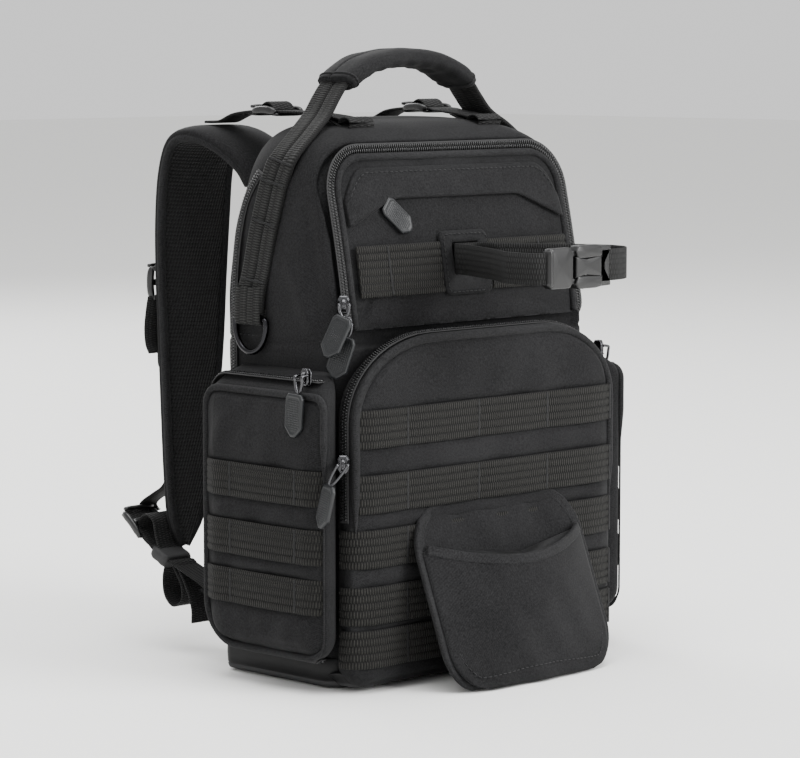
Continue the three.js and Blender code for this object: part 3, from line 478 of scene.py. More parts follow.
body_grid = body_surface(body_ring(body_rows, 0.0))
crown_ring = body_grid[-1]
crown_middle = crown_ring.mean(0)
shrink = np.array([0.93, 0.84, 0.7, 0.5, 0.25])[:, None, None]
dome = crown_middle + (crown_ring - crown_middle) * shrink + np.array([0, 0, 1.2]) * (1 - shrink**2)
foot_ring = body_grid[0]
foot_middle = foot_ring.mean(0)
under = foot_middle + (foot_ring - foot_middle) * np.array([0.5, 0.97])[:, None, None]
under[..., 2] = BASE
body_grid = np.concatenate([under, body_grid, dome])
piece("body_shell", skin(body_grid), body_nylon, nodes=["main_body"])


def capsules(at, along, up, length, width, height):
    """Many small pads of one kind: rings of six points at four places along each, so that each
    is a box with round ends. at, along and up hold a row for each pad."""
    ring = np.radians(np.arange(6) * 60 + 30)
    steps = np.array([[-0.5, 0.35], [-0.36, 1.0], [0.36, 1.0], [0.5, 0.35]])
    local = np.stack([
        np.broadcast_to(steps[:, :1] * length, (4, 6)),
        steps[:, 1:] * np.cos(ring) * width / 2,
        steps[:, 1:] * np.sin(ring) * height / 2,
    ], -1)
    along = unit(along)
    across = unit(np.cross(up, along))
    axes = np.stack([along, across, np.cross(along, across)], 1)
    grid = at[:, None, None] + np.einsum("rck,nkj->nrcj", local, axes)
    n = len(at)
    _, faces, _ = skin(grid[0])
    per = 24  # four rings of six points
    unit_faces = [faces[0], np.arange(6)[None], 18 + np.arange(6)[None, ::-1]]
    shift = (np.arange(n) * per)[:, None, None]
    faces = [(f[None] + shift).reshape(-1, f.shape[1]) for f in unit_faces]
    return grid.reshape(-1, 3), faces, np.zeros((n * per, 3))


def stitches(path, up, length=3.0, gap=1.1, thick=0.7):
    """A row of lockstitches on a path: a pad for each stitch, sunk by a third of its height."""
    run = run_length(path)
    at = np.arange(length, run[-1] - length, length + gap)
    spot = sample(path, run, at)
    ahead = sample(path, run, at + 0.5) - spot
    lift = sample(np.broadcast_to(up, path.shape), run, at)
    return capsules(spot + lift * thick * 0.15, ahead, lift, length, thick, thick)


# Sewing thread: bonded polyester, a little shinier and lighter than the cloth.
thread, tree, shader = new_material("black_polyester_thread", {
    "Base Color": linear("#151516"),
    "Roughness": 0.6,
    "Specular IOR Level": 0.3,
})
fine_grain(tree, shader, 2500.0, 0.0001)
SEAM_Z = 220.6
seam_y = np.linspace(-60, 24, 50)
seam_slack = 1.6 * np.sin(np.pi * np.clip((seam_y + 62) / 84, 0, 1)) * 0.6
seam = xyz(-(side_x(SEAM_Z) + seam_slack), seam_y, SEAM_Z)
both_sides("side_seam", stitches(seam, [-1.0, 0, 0]), thread)


# Outlines and carried sections
# Panels and pockets are cut to boxes with round corners; piping, tape and webbing are one section
# carried along an edge.
def outline(low, high, radii, inset=0.0, counts=(90, 80), turn=10):
    """Closed outline of a box with elliptical corners, from the lower right corner round: each
    corner is a quarter ellipse and each side an even row of points."""
    (u0, v0), (u1, v1) = np.array(low) + inset, np.array(high) - inset
    reach = np.maximum(np.array(radii, float) - inset, 0.6)
    ru = np.minimum(reach[:, 0], (u1 - u0) / 2)
    rv = np.minimum(reach[:, 1], (v1 - v0) / 2)
    cu = np.array([u1 - ru[0], u1 - ru[1], u0 + ru[2], u0 + ru[3]])
    cv = np.array([v0 + rv[0], v1 - rv[1], v1 - rv[2], v0 + rv[3]])
    angle = np.radians(90 * np.arange(-1, 3))[:, None] + np.pi / 2 * np.arange(turn + 1) / turn
    centre, reach = np.stack([cu, cv], -1)[:, None], np.stack([ru, rv], -1)[:, None]
    arcs = centre + reach * np.stack([np.cos(angle), np.sin(angle)], -1)
    out = []
    for k in range(4):
        n = counts[1] if k % 2 == 0 else counts[0]
        t = (np.arange(1, n) / n)[:, None]
        out += [arcs[k], arcs[k][-1] + (arcs[(k + 1) % 4][0] - arcs[k][-1]) * t]
    return np.vstack(out)


def carry(path, up, section, loop=False):
    """A section carried along a path: path + across * side + out * up, where side is square to
    the path and to up."""
    ahead = np.roll(path, -1, 0) - np.roll(path, 1, 0)
    if not loop:
        ahead[0], ahead[-1] = path[1] - path[0], path[-1] - path[-2]
    ahead = unit(ahead)
    side = unit(np.cross(ahead, np.broadcast_to(up, path.shape)))
    out = np.cross(side, ahead)
    section = np.broadcast_to(section, (len(path),) + np.shape(section)[-2:])
    return path[:, None] + section[..., :1] * side[:, None] + section[..., 1:] * out[:, None]


def rounded(width, thick, radius, turn=3):
    """Section of a flat band with round edges."""
    return outline((-width / 2, -thick / 2), (width / 2, thick / 2), [(radius, radius)] * 4,
                   counts=(max(int(width / 1.2), 4), 2), turn=turn)


def circle(radius, count=12):
    """Section of a round cord or rod."""
    angle = 2 * np.pi * np.arange(count) / count
    return radius * np.stack([np.cos(angle), np.sin(angle)], -1)


# Front panel
# The flap that closes the main room: padded nylon, edged with piping and a coil zip, with a slip
# pocket on it under a storm flap.
PANEL_RADII = [(3, 3), (PANEL_CORNER, PANEL_CORNER), (PANEL_CORNER, PANEL_CORNER), (3, 3)]


def panel_outline(out):
    """The panel's outline moved outward, its foot kept at one height."""
    return outline((-PANEL_HALF, PANEL_FOOT + out), (PANEL_HALF, PANEL_TOP), PANEL_RADII, -out)


def panel_bulge(x, z):
    """How far the padded panel stands proud: a soft dome that is flat along its edges."""
    inside = np.clip(-outside_panel(x, z) / 16, 0, 1)
    dome_up = np.clip((z - PANEL_FOOT) / 20, 0, 1)
    rise = 1.9 * np.sin(np.pi / 2 * inside) * dome_up
    for a, b, deep, wide in (
        ((-84, 250), (-97, 231), -2.2, 2.2),
        ((-90, 236), (-70, 230), 0.9, 4.0),
        ((-60, 240), (20, 236), -0.8, 5.0),
        ((30, 243), (92, 232), -1.0, 4.0),
    ):
        rise = rise + crease(x, z, a, b, deep, wide) * (outside_panel(x, z) < 0)
    return rise


def drawn_in(ring, steps):
    """Copies of an outline drawn in evenly towards its middle, down to a small one."""
    middle = (ring.min(0) + ring.max(0)) / 2
    return [middle + (ring - middle) * k for k in np.linspace(1, 0.015, steps)[1:]]


def on_front(ring, out):
    """Points seen straight on, put on the body's front skin and moved out from it."""
    return xyz(ring[:, 0], front_y(ring[:, 1]) - out, ring[:, 1])


rings = []
for depth, inset in ((6.0, 0.4), (3.0, 0.1), (1.4, 0.2), (0.5, 0.8), (0.1, 1.8)):
    rings.append(on_front(panel_outline(-inset), -depth))
for ring in [panel_outline(-k) for k in (3.2, 5.0, 7.5, 10.0)] + drawn_in(panel_outline(-10.0), 46):
    rings.append(on_front(ring, panel_bulge(*ring.T)))
panel_grid = np.array(rings)
panel_grid[..., 1] += swell(panel_grid, 40, 0.35, 11)
piece("panel_skin", skin(panel_grid), body_nylon, nodes=["front_panel"])


def open_edge(ring, foot):
    """The part of a closed outline above a height, as one open run from right to left."""
    above = ring[:, 1] > foot
    start = np.flatnonzero(above & ~np.roll(above, 1))[0]
    ring = np.roll(ring, -start, 0)
    return ring[: np.count_nonzero(above)]


PIPING_RADIUS = 2.5
piping_path = even(on_front(open_edge(panel_outline(-1.6), PANEL_FOOT + 1), 0.3), 2.0)
piping = skin(carry(piping_path, [0, -1.0, 0], circle(PIPING_RADIUS)))
piece("panel_piping", piping, trim_nylon)

# Panel zip
# Black coil zip: two woven tapes with a fine nylon spiral along each, the two spirals meshed in
# the middle. A real coil has a turn every 1.1 mm; here every 1.9 mm, so that the turns show.
COIL_PITCH = 1.9
zip_cloth, tree, shader = new_material("zip_tape_polyester", {"Roughness": 0.75})
weave_at = node(tree, "ShaderNodeAttribute", attribute_name="weave").outputs["Vector"]
lines = node(tree, "ShaderNodeTexWave", {"Vector": weave_at, "Scale": 0.35, "Distortion": 0.4})
tint(tree, shader, lines.outputs[1], "#080809", "#151516")
# The spiral itself: moulded nylon thread, satin, so each turn catches a fine light.
coil_nylon, tree, shader = new_material("black_nylon_coil", {
    "Base Color": linear("#121213"),
    "Roughness": 0.27,
    "Specular IOR Level": 0.5,
})
fine_grain(tree, shader, 1500.0, 0.00005)


def zip_shells(path, up, width):
    """Tape and teeth of a zip: a thin band, and along its middle two rows of short pads that lie
    across it, each row half a turn behind the other."""
    tape = skin(carry(path, up, rounded(width, 0.9, 0.4, 2)))
    run = run_length(path)
    rows = []
    up = np.broadcast_to(np.array(up, float), path.shape)
    for shift, sign in ((0.0, -1.0), (0.5, 1.0)):
        at = np.arange(1.0 + shift * COIL_PITCH, run[-1] - 1, COIL_PITCH)
        spot = sample(path, run, at)
        ahead = unit(sample(path, run, at + 0.8) - spot)
        lift = unit(sample(up, run, at))
        side = unit(np.cross(ahead, lift))
        rows.append(capsules(spot + side * sign * 1.3 + lift * 0.8, side, lift, 2.7, 1.0, 1.5))
    return tape, rows


def make_zip(name, path, up, width, nodes, mirrored=False):
    """A zip as two pieces: its tape, which stands for the frame's node, and its spiral."""
    tape, teeth = zip_shells(path, up, width)
    piece(name, tape, zip_cloth, nodes=nodes, mirrored=mirrored)
    piece(name + "_coil", teeth, coil_nylon, mirrored=mirrored)


zip_path = even(on_front(open_edge(panel_outline(ZIP_BAND / 2 + 0.6), PANEL_FOOT + 1), 0.4), 2.0)
make_zip("panel_zip", zip_path, [0, -1.0, 0], ZIP_BAND + 0.6, ["main_zipper"])

# Storm flap
# A folded strip of the same nylon, sewn down along its top and sides, that hangs over the slip
# pocket's zip. Its lip is level in the middle and slopes down at both ends.
FLAP_HALF = box_mm("storm_flap")[1][0]
panel_up = lambda share: PANEL_FOOT + share * (PANEL_TOP - PANEL_FOOT)
flap_x = np.linspace(-FLAP_HALF, FLAP_HALF, 141)
lip_z = np.interp(np.abs(flap_x), [0.586 * FLAP_HALF, FLAP_HALF], [panel_up(0.743), panel_up(0.587)])
lip_z = np.convolve(np.pad(lip_z, 4, "edge"), np.ones(9) / 9, "valid")
head_z = panel_up(0.927) - 21 * np.clip((np.abs(flap_x) / FLAP_HALF - 0.78) / 0.22, 0, 1) ** 2.2
# Down the outer face, round the lip and up the back: share of the height and millimetres proud.
outer = np.linspace(1, 0.04, 18)
share = np.concatenate([outer, [0.0, 0.02], np.linspace(0.08, 1, 5)])
stand = np.interp(outer, [0, 0.25, 0.8, 1], [3.6, 3.2, 2.3, 1.2])
stand = np.concatenate([stand, [2.6, 1.8], np.full(5, 0.3)])
flap_z = lip_z[:, None] + share * (head_z - lip_z)[:, None]
flap_out = panel_bulge(flap_x[:, None], flap_z) + stand
flap_grid = xyz(flap_x[:, None], front_y(flap_z) - flap_out, flap_z)
flap_grid[..., 1] -= swell(flap_grid, 34, 0.3, 5)
piece("storm_flap_cloth", skin(flap_grid), body_nylon, nodes=["storm_flap"])

# A row of stitches holds the flap along its top edge and follows its corners.
edge_x = np.linspace(-FLAP_HALF + 4, FLAP_HALF - 4, 120)
edge_z = panel_up(0.9) - 24 * np.clip((np.abs(edge_x) / FLAP_HALF - 0.76) / 0.24, 0, 1) ** 2.2
edge = xyz(edge_x, front_y(edge_z) - panel_bulge(edge_x, edge_z) - 2.6, edge_z)
piece("flap_stitches", stitches(edge, [0, -1.0, 0], 2.8, 1.6, 0.6), thread)


# Loop webbing
# Flat nylon webbing, woven in lengthwise bands of short upright threads. It is laid across the
# pockets and sewn down with bar stitches, so that it stands off a little between them.
def webbing_cloth(name, dark, light, band, stroke, bump):
    """Woven webbing: across the band a groove at every rib, along it a sine of the upright
    threads that is half a thread further on in every second rib. band and stroke are the widths
    in millimetres of a rib and a thread."""
    made, tree, shader = new_material(name, {
        "Roughness": 0.78,
        "Sheen Weight": 0.01,
        "Specular IOR Level": 0.2,
    })
    at = node(tree, "ShaderNodeAttribute", attribute_name="weave").outputs["Vector"]
    along, across, _ = node(tree, "ShaderNodeSeparateXYZ", {0: at}).outputs
    rib = calc(tree, "DIVIDE", across, band)
    arch = calc(tree, "SINE", calc(tree, "MULTIPLY", calc(tree, "FRACT", rib), np.pi))
    turn = calc(tree, "MULTIPLY", along, 2 * np.pi / stroke)
    turn = calc(tree, "MULTIPLY_ADD", calc(tree, "FLOOR", rib), np.pi, turn)
    threads = stretched(tree, calc(tree, "SINE", turn), -1.0, 1.0)
    height = calc(tree, "MULTIPLY", threads, calc(tree, "POWER", arch, 0.45))
    share = calc(tree, "MULTIPLY", noise(tree, at, 0.9, 2.0), height)
    tint(tree, shader, stretched(tree, share, 0.05, 0.6), dark, light)
    raised_by(tree, shader, height, bump, 0.0006)
    return made


# The upright threads are 0.9 mm apart; they are drawn 1.9 mm apart so that they show.
loop_webbing = webbing_cloth("loop_webbing_nylon", "#030303", "#292825", 4.9, 1.9, 1.0)


def flat_back(width, thick):
    """The edges and the flat back of a webbing section."""
    x, y = width / 2, -thick / 2
    return [[x, 0.0], [x - 0.4, y], [0.4 - x, y], [-x, 0.0]]


def ribbed(width, thick, ribs, deep=0.55):
    """Section of webbing with lengthwise ribs: its face is a row of arches, the absolute value
    of a sine; the edges are round and the back is flat."""
    u = np.linspace(-width / 2 + 0.5, width / 2 - 0.5, ribs * 8 + 1)
    arch = np.abs(np.sin(np.pi * ribs * (u / (width - 1) + 0.5))) ** 0.55
    top = np.stack([u, thick / 2 - deep * (1 - arch)], -1)
    return np.vstack([top, flat_back(width, thick)])


def webbing_band(path, up, section):
    """A webbing band as a closed skin whose weave values run along and across it."""
    grid = carry(path, up, section)
    along = np.broadcast_to(run_length(path)[:, None], grid.shape[:2])
    across = np.broadcast_to((section[:, 0] - section[:, 0].min())[None], grid.shape[:2])
    return skin(grid, weave=np.stack([along, across, 0 * along], -1))


def bar_stitch(centre, across, up, height, width=1.9):
    """Bar stitch: a dense column of short threads, laid side by side square to the column."""
    count = int(height / 0.75)
    spread = (np.arange(count) - (count - 1) / 2)[:, None] * 0.75
    at = np.array(centre) + spread * np.array(across, float)
    along = np.broadcast_to(np.cross(across, up), at.shape)
    return capsules(at, along, np.broadcast_to(np.array(up, float), at.shape), width, 0.8, 0.8)


# Panel webbing: one broad band of seven ribs on each side of the slit patch.
WEB_FOOT = panel_up(0.183)
WEB_TOP = panel_up(0.486)
PATCH_HALF = box_mm("strap_patch")[1][0]
web_height = WEB_TOP - WEB_FOOT
web_middle = (WEB_TOP + WEB_FOOT) / 2
x = np.linspace(-FLAP_HALF + 1.5, -PATCH_HALF - 0.8, 60)
lift = 2.4 + 0.9 * np.abs(np.sin(np.pi * (x + 70) / 44)) ** 0.8
path = xyz(x, front_y(web_middle) - panel_bulge(x, web_middle) - lift, web_middle)
lean = np.array([0, -1.0, (front_y(WEB_FOOT) - front_y(WEB_TOP)) / -web_height])
band = webbing_band(path, unit(lean), ribbed(web_height, 1.7, 7))
both_sides("panel_web", band, loop_webbing, "panel_webbing")
tack_at = [-70, front_y(web_middle) - panel_bulge(-70, web_middle) - 3.35, web_middle]
tack = bar_stitch(tack_at, unit(np.array([0, lean[2], 1.0])), unit(lean), web_height - 2)
both_sides("panel_web_tack", tack, thread)

# Slit patch: a double square of nylon with bound slit, its corners turned under.
PATCH_FOOT, PATCH_TOP = (corner[2] for corner in box_mm("strap_patch"))
STRAP_Z = (box_mm("load_strap")[0][2] + box_mm("load_strap")[1][2]) / 2


def patch_outline(half_width, foot, top, radius):
    """A square of the patch: outline with one radius and few points."""
    return outline((-half_width, foot), (half_width, top), [(radius, radius)] * 4, counts=(20, 20), turn=5)


edge = patch_outline(PATCH_HALF, PATCH_FOOT, PATCH_TOP, 5)
hole = patch_outline(12.0, STRAP_Z - 10.6, STRAP_Z + 10.6, 1.5)
rings = []
for share, out in ((0, 0.4), (0, 2.6), (0.04, 3.4), (0.25, 4.3), (0.6, 4.6), (0.9, 4.2), (1, 3.4), (1, 0.4)):
    ring = edge + (hole - edge) * share
    rings.append(on_front(ring, out + panel_bulge(*ring.T) * (1 if share else 0.8)))
piece("slit_patch", skin(np.array(rings), loop=True), body_nylon, nodes=["strap_patch"])
seam = patch_outline(PATCH_HALF - 2, PATCH_FOOT + 2, PATCH_TOP - 2, 4)
seam = on_front(seam, 4.6 + panel_bulge(*seam.T))
piece("patch_stitches", stitches(seam, [0, -1.0, 0], 2.6, 1.2, 0.6), thread)

# Front pocket
# A flat organiser pocket over the whole lower front: nylon gusset, coil zip round its upper half,
# piping round its face, and five rows of loop webbing that hold the face in.
POCKET_LOW, POCKET_HIGH = box_mm("front_pocket")
POCKET_HALF = POCKET_HIGH[0]
POCKET_FACE = -POCKET_LOW[1]
POCKET_BACK = -POCKET_HIGH[1]
POCKET_RADII = [(14, 14), (70, 52), (70, 52), (14, 14)]
pocket_depth = POCKET_FACE - POCKET_BACK
FRONT_ROWS = np.array([0.749, 0.565, 0.41, 0.249, 0.1256]) * POCKET_TOP
ROW_WIDTH = 24.5


def pocket_ring(inset):
    """The front pocket's outline, seen straight on."""
    low, high = (-POCKET_HALF, POCKET_LOW[2]), (POCKET_HALF, POCKET_TOP)
    return outline(low, high, POCKET_RADII, inset, (96, 84), 12)


def pocket_bulge(x, z):
    """Padding behind the pocket's face: a dome, held in along its rim."""
    across = np.clip((POCKET_HALF - 4 - np.abs(x)) / 26, 0, 1)
    up = np.clip((z - 4) / 14, 0, 1) * np.clip((POCKET_TOP - 4 - z) / 26, 0, 1)
    return 2.6 * np.sin(np.pi / 2 * across) * np.sin(np.pi / 2 * up)


def between_rows(z, rows, width):
    """1 halfway between two rows of webbing and 0 under them."""
    near = np.min(np.abs(z[..., None] - rows), -1)
    return np.clip((near - width / 2 + 1.0) / 4.5, 0, 1)


rings = []
for share, inset in ((0, 3.8), (0.3, 1.6), (0.6, 0.2), (0.8, 0.4), (0.9, 1.4), (0.96, 2.8), (1.0, 4.4)):
    x, z = pocket_ring(inset).T
    rings.append(xyz(x, -(POCKET_BACK + share * pocket_depth), z))
inner = [pocket_ring(k) for k in (6.0, 8.0, 11.0, 14.0)] + drawn_in(pocket_ring(14.0), 90)
for ring in inner:
    x, z = ring.T
    near_rim = np.clip(np.minimum(POCKET_HALF - 4 - np.abs(x), POCKET_TOP - 4 - z) / 9, 0, 1)
    rise = pocket_bulge(x, z) + 1.9 * between_rows(z, FRONT_ROWS, ROW_WIDTH) * near_rim
    rings.append(xyz(x, -(POCKET_FACE + rise), z))
pocket_grid = np.array(rings)
pocket_grid[..., 1] -= swell(pocket_grid, 30, 0.4, 21) * (pocket_grid[..., 1] < -POCKET_FACE + 1)
piece("front_pocket_skin", skin(pocket_grid), body_nylon, nodes=["front_pocket"])

rim = open_edge(pocket_ring(2.4), 0.43 * POCKET_TOP)
rim_path = even(xyz(rim[:, 0], -POCKET_FACE + 0.3, rim[:, 1]), 2.0)
# The piping tapers into the seam at both ends.
count = np.arange(len(rim_path))
ends = np.clip(np.minimum(count, count[::-1]) / 14, 0.12, 1)[:, None, None]
piping = skin(carry(rim_path, [0, -1.0, 0], circle(1.0) * np.array([3.0, 2.4]) * ends))
piece("front_pocket_piping", piping, trim_nylon)


def outward_of(ring):
    """Outward direction of an open outline that runs anticlockwise, seen straight on."""
    ahead = np.gradient(ring, axis=0)
    return unit(np.stack([ahead[:, 1], -ahead[:, 0]], -1))


ZIP_LOW = 0.484 * POCKET_TOP
rim = open_edge(pocket_ring(-0.9), ZIP_LOW)
side_out = outward_of(rim)
zip_path = xyz(rim[:, 0], -(POCKET_BACK + 0.6 * pocket_depth), rim[:, 1])
zip_up = xyz(side_out[:, 0], 0, side_out[:, 1])
make_zip("front_pocket_zip", zip_path, zip_up, 7.4, ["front_pocket_zipper"])


def bow(at, pitch):
    """How far webbing stands off between its bar stitches: a sine raised to 0.7."""
    return 1.4 * np.abs(np.sin(np.pi * at / pitch)) ** 0.7


def band_out(path):
    """Outward direction of a level band: its run turned a quarter turn about the vertical."""
    ahead = unit(np.gradient(path, axis=0))
    return xyz(ahead[:, 1], -ahead[:, 0], 0)


# Five rows on the front pocket, their ends turned into the seam under the piping.
FRONT_PITCH, FRONT_SHIFT = 65.0, 13.0
tacks = []
flat = POCKET_HALF - 5
for k, z in enumerate(FRONT_ROWS):
    x = np.linspace(-flat, flat, 121)
    ends = np.clip((flat - np.abs(x)) / 8, 0, 1)
    rise = pocket_bulge(x, z) + 1.25 + bow(x + FRONT_SHIFT, FRONT_PITCH) * ends
    # Above the zip's end a row stops in the rim's seam; below it goes round onto the gusset.
    wrap = [(3.4, 1.4), (5.4, 4.2), (5.9, 8.0), (5.9, 11.5)] if k >= 2 else [(3.4, 1.6)]
    out, back = np.array(wrap).T
    x = np.concatenate([-flat - out[::-1], x, flat + out])
    y = np.concatenate([-POCKET_FACE + back[::-1], -(POCKET_FACE + rise), -POCKET_FACE + back])
    path = xyz(x, y, z)
    band = webbing_band(path, band_out(path), ribbed(ROW_WIDTH, 1.6, 5))
    piece("front_web_%d" % (k + 1), band, loop_webbing, nodes=["front_webbing_%d" % (k + 1)])
    for step in range(-1, 3):
        place = step * FRONT_PITCH - FRONT_SHIFT
        y = -(POCKET_FACE + pocket_bulge(place, z) + 2.0)
        tacks.append(bar_stitch([place, y, z], [0, 0, 1.0], [0, -1.0, 0], ROW_WIDTH - 1))
piece("front_web_tacks", tacks, thread)

# Side pockets
# One on each side wall: padded face with piping, three rows of webbing, and a gusset with a coil
# zip that runs from the front edge over the top, down the back and along the foot.
SIDE_LOW, SIDE_HIGH = box_mm("side_pocket_left")
SIDE_FACE = -SIDE_LOW[0]
SIDE_ROOT = -SIDE_HIGH[0]
SIDE_FRONT, SIDE_BACK = FRONT + 12, BACK - 5
SIDE_TOP, SIDE_FOOT = POCKET_TOP - 20, SIDE_LOW[2] - 0.2
SIDE_TAPER = 13.0
SIDE_RADII = [(30, 30), (14, 14), (10, 10), (16, 16)]
side_depth = SIDE_FACE - SIDE_ROOT
SIDE_ROWS = np.array([0.645, 0.463, 0.308]) * SIDE_TOP


def side_ring(share, inset):
    """The side pocket's outline at a share of its depth, seen from the left: the top slants down
    to the face and the foot narrows towards the wall."""
    narrow = (1 - share) ** 2
    low = (-SIDE_FRONT + SIDE_TAPER * narrow, SIDE_FOOT)
    high = (SIDE_BACK + 1 - 0.3 * SIDE_TAPER * narrow, SIDE_TOP - SIDE_TAPER * share)
    return outline(low, high, SIDE_RADII, inset, (40, 62), 9)


def side_bulge(y, z):
    """Padding behind the side pocket's face."""
    across = np.clip((SIDE_BACK - 3 - y) / 18, 0, 1) * np.clip((y + SIDE_FRONT - 4) / 18, 0, 1)
    up = np.clip((z - SIDE_FOOT - 3) / 22, 0, 1) * np.clip((SIDE_TOP - SIDE_TAPER - 4 - z) / 22, 0, 1)
    return 3.2 * np.sin(np.pi / 2 * across) * np.sin(np.pi / 2 * up)


rings = []
for share, inset in ((0, 1.2), (0.25, 0.4), (0.5, 0.2), (0.75, 0.7), (0.86, 1.3), (0.94, 2.6), (1.0, 4.6)):
    rings.append(xyz(-(SIDE_ROOT + share * side_depth), *side_ring(share, inset).T))
for ring in [side_ring(1.0, k) for k in (6.4, 8.5, 11.0)] + drawn_in(side_ring(1.0, 11.0), 60):
    y, z = ring.T
    near_rim = np.clip(np.minimum(SIDE_BACK - 4 - y, y + SIDE_FRONT - 4) / 8, 0, 1)
    rise = side_bulge(y, z) + 1.7 * between_rows(z, SIDE_ROWS, ROW_WIDTH - 2) * near_rim
    rise = rise + crease(y, z, (-70, 36), (10, 30), 1.6, 5) - crease(y, z, (-60, 30), (0, 27), 1.2, 2.5)
    rings.append(xyz(-(SIDE_FACE + rise), y, z))
side_grid = np.array(rings)
side_grid[..., 0] -= swell(side_grid, 26, 0.45, 31) * (side_grid[..., 0] < -SIDE_FACE + 1)

both_sides("side_pocket_skin", skin(side_grid), body_nylon, "side_pocket")

# The piping is full along the top, the back and the foot, and thins out where the front edge is
# sewn to the front pocket's wall.
rim_y, rim_z = side_ring(1.0, 2.0).T
front_low = np.clip((-SIDE_FRONT + 10 - rim_y) / 6, 0, 1) * np.clip((158 - rim_z) / 20, 0, 1)
rim_section = circle(2.4)[None] * (1 - 0.72 * front_low)[:, None, None]
piping = carry(xyz(-SIDE_FACE + 0.6, rim_y, rim_z), [-1.0, 0, 0], rim_section, loop=True)
both_sides("side_pocket_piping", skin(piping, loop=True), trim_nylon)

# The zip follows the gusset all round, but for the stretch that faces the front.
gusset = side_ring(0.56, -0.9)
gusset = np.roll(gusset, -int(np.argmin(gusset[:, 1] + gusset[:, 0] * 0.2)), 0)
in_front = gusset[:, 0] < -SIDE_FRONT + SIDE_TAPER - 2
start = np.flatnonzero(in_front & ~np.roll(in_front, 1))[0]
stop = np.flatnonzero(in_front & ~np.roll(in_front, -1))[0]
side_zip = np.roll(gusset, -(stop + 1), 0)[: len(gusset) - (stop - start + 1) % len(gusset)]
zip_path = xyz(-(SIDE_ROOT + 0.56 * side_depth), *side_zip.T)
zip_up = xyz(0, *outward_of(side_zip).T)
for side, flip in (("left", False), ("right", True)):
    make_zip("side_pocket_zip_" + side, zip_path, zip_up, 7.8, ["side_pocket_zipper_" + side], flip)

SIDE_PITCH, SIDE_SHIFT = 60.0, 1.4
tacks = []
first, last = -SIDE_FRONT + 6, SIDE_BACK - 5
for k, z in enumerate(SIDE_ROWS):
    y = np.linspace(first, last, 61)
    ends = np.clip(np.minimum(y - first, last - y) / 8, 0, 1)
    rise = side_bulge(y, z) + 1.25 + bow(y + SIDE_SHIFT, SIDE_PITCH) * ends
    y = np.concatenate([[first - 3.6], y, [last + 3.6]])
    x = -np.concatenate([[SIDE_FACE - 1.6], SIDE_FACE + rise, [SIDE_FACE - 1.6]])
    band = webbing_band(xyz(x, y, z), [-1.0, 0, 0], ribbed(ROW_WIDTH - 2, 1.6, 5))
    both_sides("side_web_%d" % (k + 1), band, loop_webbing, "side_webbing_%d" % (k + 1))
    for y in (-SIDE_SHIFT, -SIDE_SHIFT - SIDE_PITCH):
        x = -(SIDE_FACE + side_bulge(y, z) + 2.0)
        tacks.append(bar_stitch([x, y, z], [0, 0, 1.0], [-1.0, 0, 0], ROW_WIDTH - 3))
both_sides("side_web_tacks", tacks, thread)

# Rear zip
# The zip of the rear room runs up each back edge of the body and ends under its crown.
REAR_ROWS = [
    [-0.985, 0.80, 0.10],
    [-1.0, 0.70, 0.3],
    [-1.0, 0.68, 0.62],
    [-0.985, 0.66, 0.75],
    [-0.95, 0.50, 0.85],
    [-0.90, 0.2, 0.91],
]
rear_path = smooth_path(np.array(REAR_ROWS) * [HALF_WIDTH, BACK, CROWN], 2.0)
rear_path[:, 0] = -side_x(rear_path[:, 2]) - 0.9
tape, teeth = zip_shells(rear_path, unit(np.array([-1, 0.25, 0])), 7.0)
both_sides("rear_zip", tape, zip_cloth)
both_sides("rear_zip_coil", teeth, coil_nylon)

# Base boot
# A tray of coated cloth sewn round the foot of the body. Its upper wall is dark; the wrap of the
# bottom shows as a narrow lighter edge.
coated, tree, shader = new_material("coated_polyester_base", {"Roughness": 0.55, "Specular IOR Level": 0.25})
place = node(tree, "ShaderNodeTexCoord").outputs["Object"]
height = node(tree, "ShaderNodeSeparateXYZ", {0: place}).outputs[2]
tint(tree, shader, stretched(tree, height, 5.5 * MM, 4.5 * MM), "#0c0c0d", "#2c2c2d")
raised_by(tree, shader, noise(tree, place, 700.0, 3.0), 0.2, 0.0003)

# Height and share of the base outline, from the middle of the bottom round the rim to the inside.
BOOT_ROWS = [
    (2.4, 0.5), (0.8, 0.9), (0.05, 0.965), (1.6, 1.0), (4.0, 1.008), (4.6, 1.0), (5.2, 1.008), (12.0, 1.012),
    (19.0, 1.01), (19.9, 1.004), (19.4, 0.992), (10.0, 0.988), (3.2, 0.94), (2.9, 0.5),
]
base = box_ring(HALF_WIDTH + 1.0, FRONT - 1.5, BACK + 1.0, 14.0, 8.0, BODY_COUNTS)[0]
boot_grid = np.array([xyz(*(base * k).T, z) for z, k in BOOT_ROWS])
piece("boot_cloth", skin(boot_grid), coated, nodes=["base_boot"])
# Corner tabs of the same coated cloth close the foot between the boot and the front pocket.
tab_path = smooth_path([(-114, -62, 6), (-116.5, -72, 7.5), (-112, -82, 7), (-100, -87, 6)], 1.5)
tab = skin(carry(tab_path, unit(np.array([-0.6, -0.6, -0.25])), rounded(9, 1.6, 0.7)))
both_sides("boot_corner", tab, coated)

# Back pads
# Thick foam under air mesh: two long pads and a lumbar pad on a mesh sheet. The mesh is knitted
# with small slanting holes, which give the eye a dark diagonal pattern.
PAD_LOW, PAD_HIGH = box_mm("back_pad")
PAD_HALF = PAD_HIGH[0]
LUMBAR_TOP = 0.235 * CROWN
LONG_FOOT = LUMBAR_TOP + 12


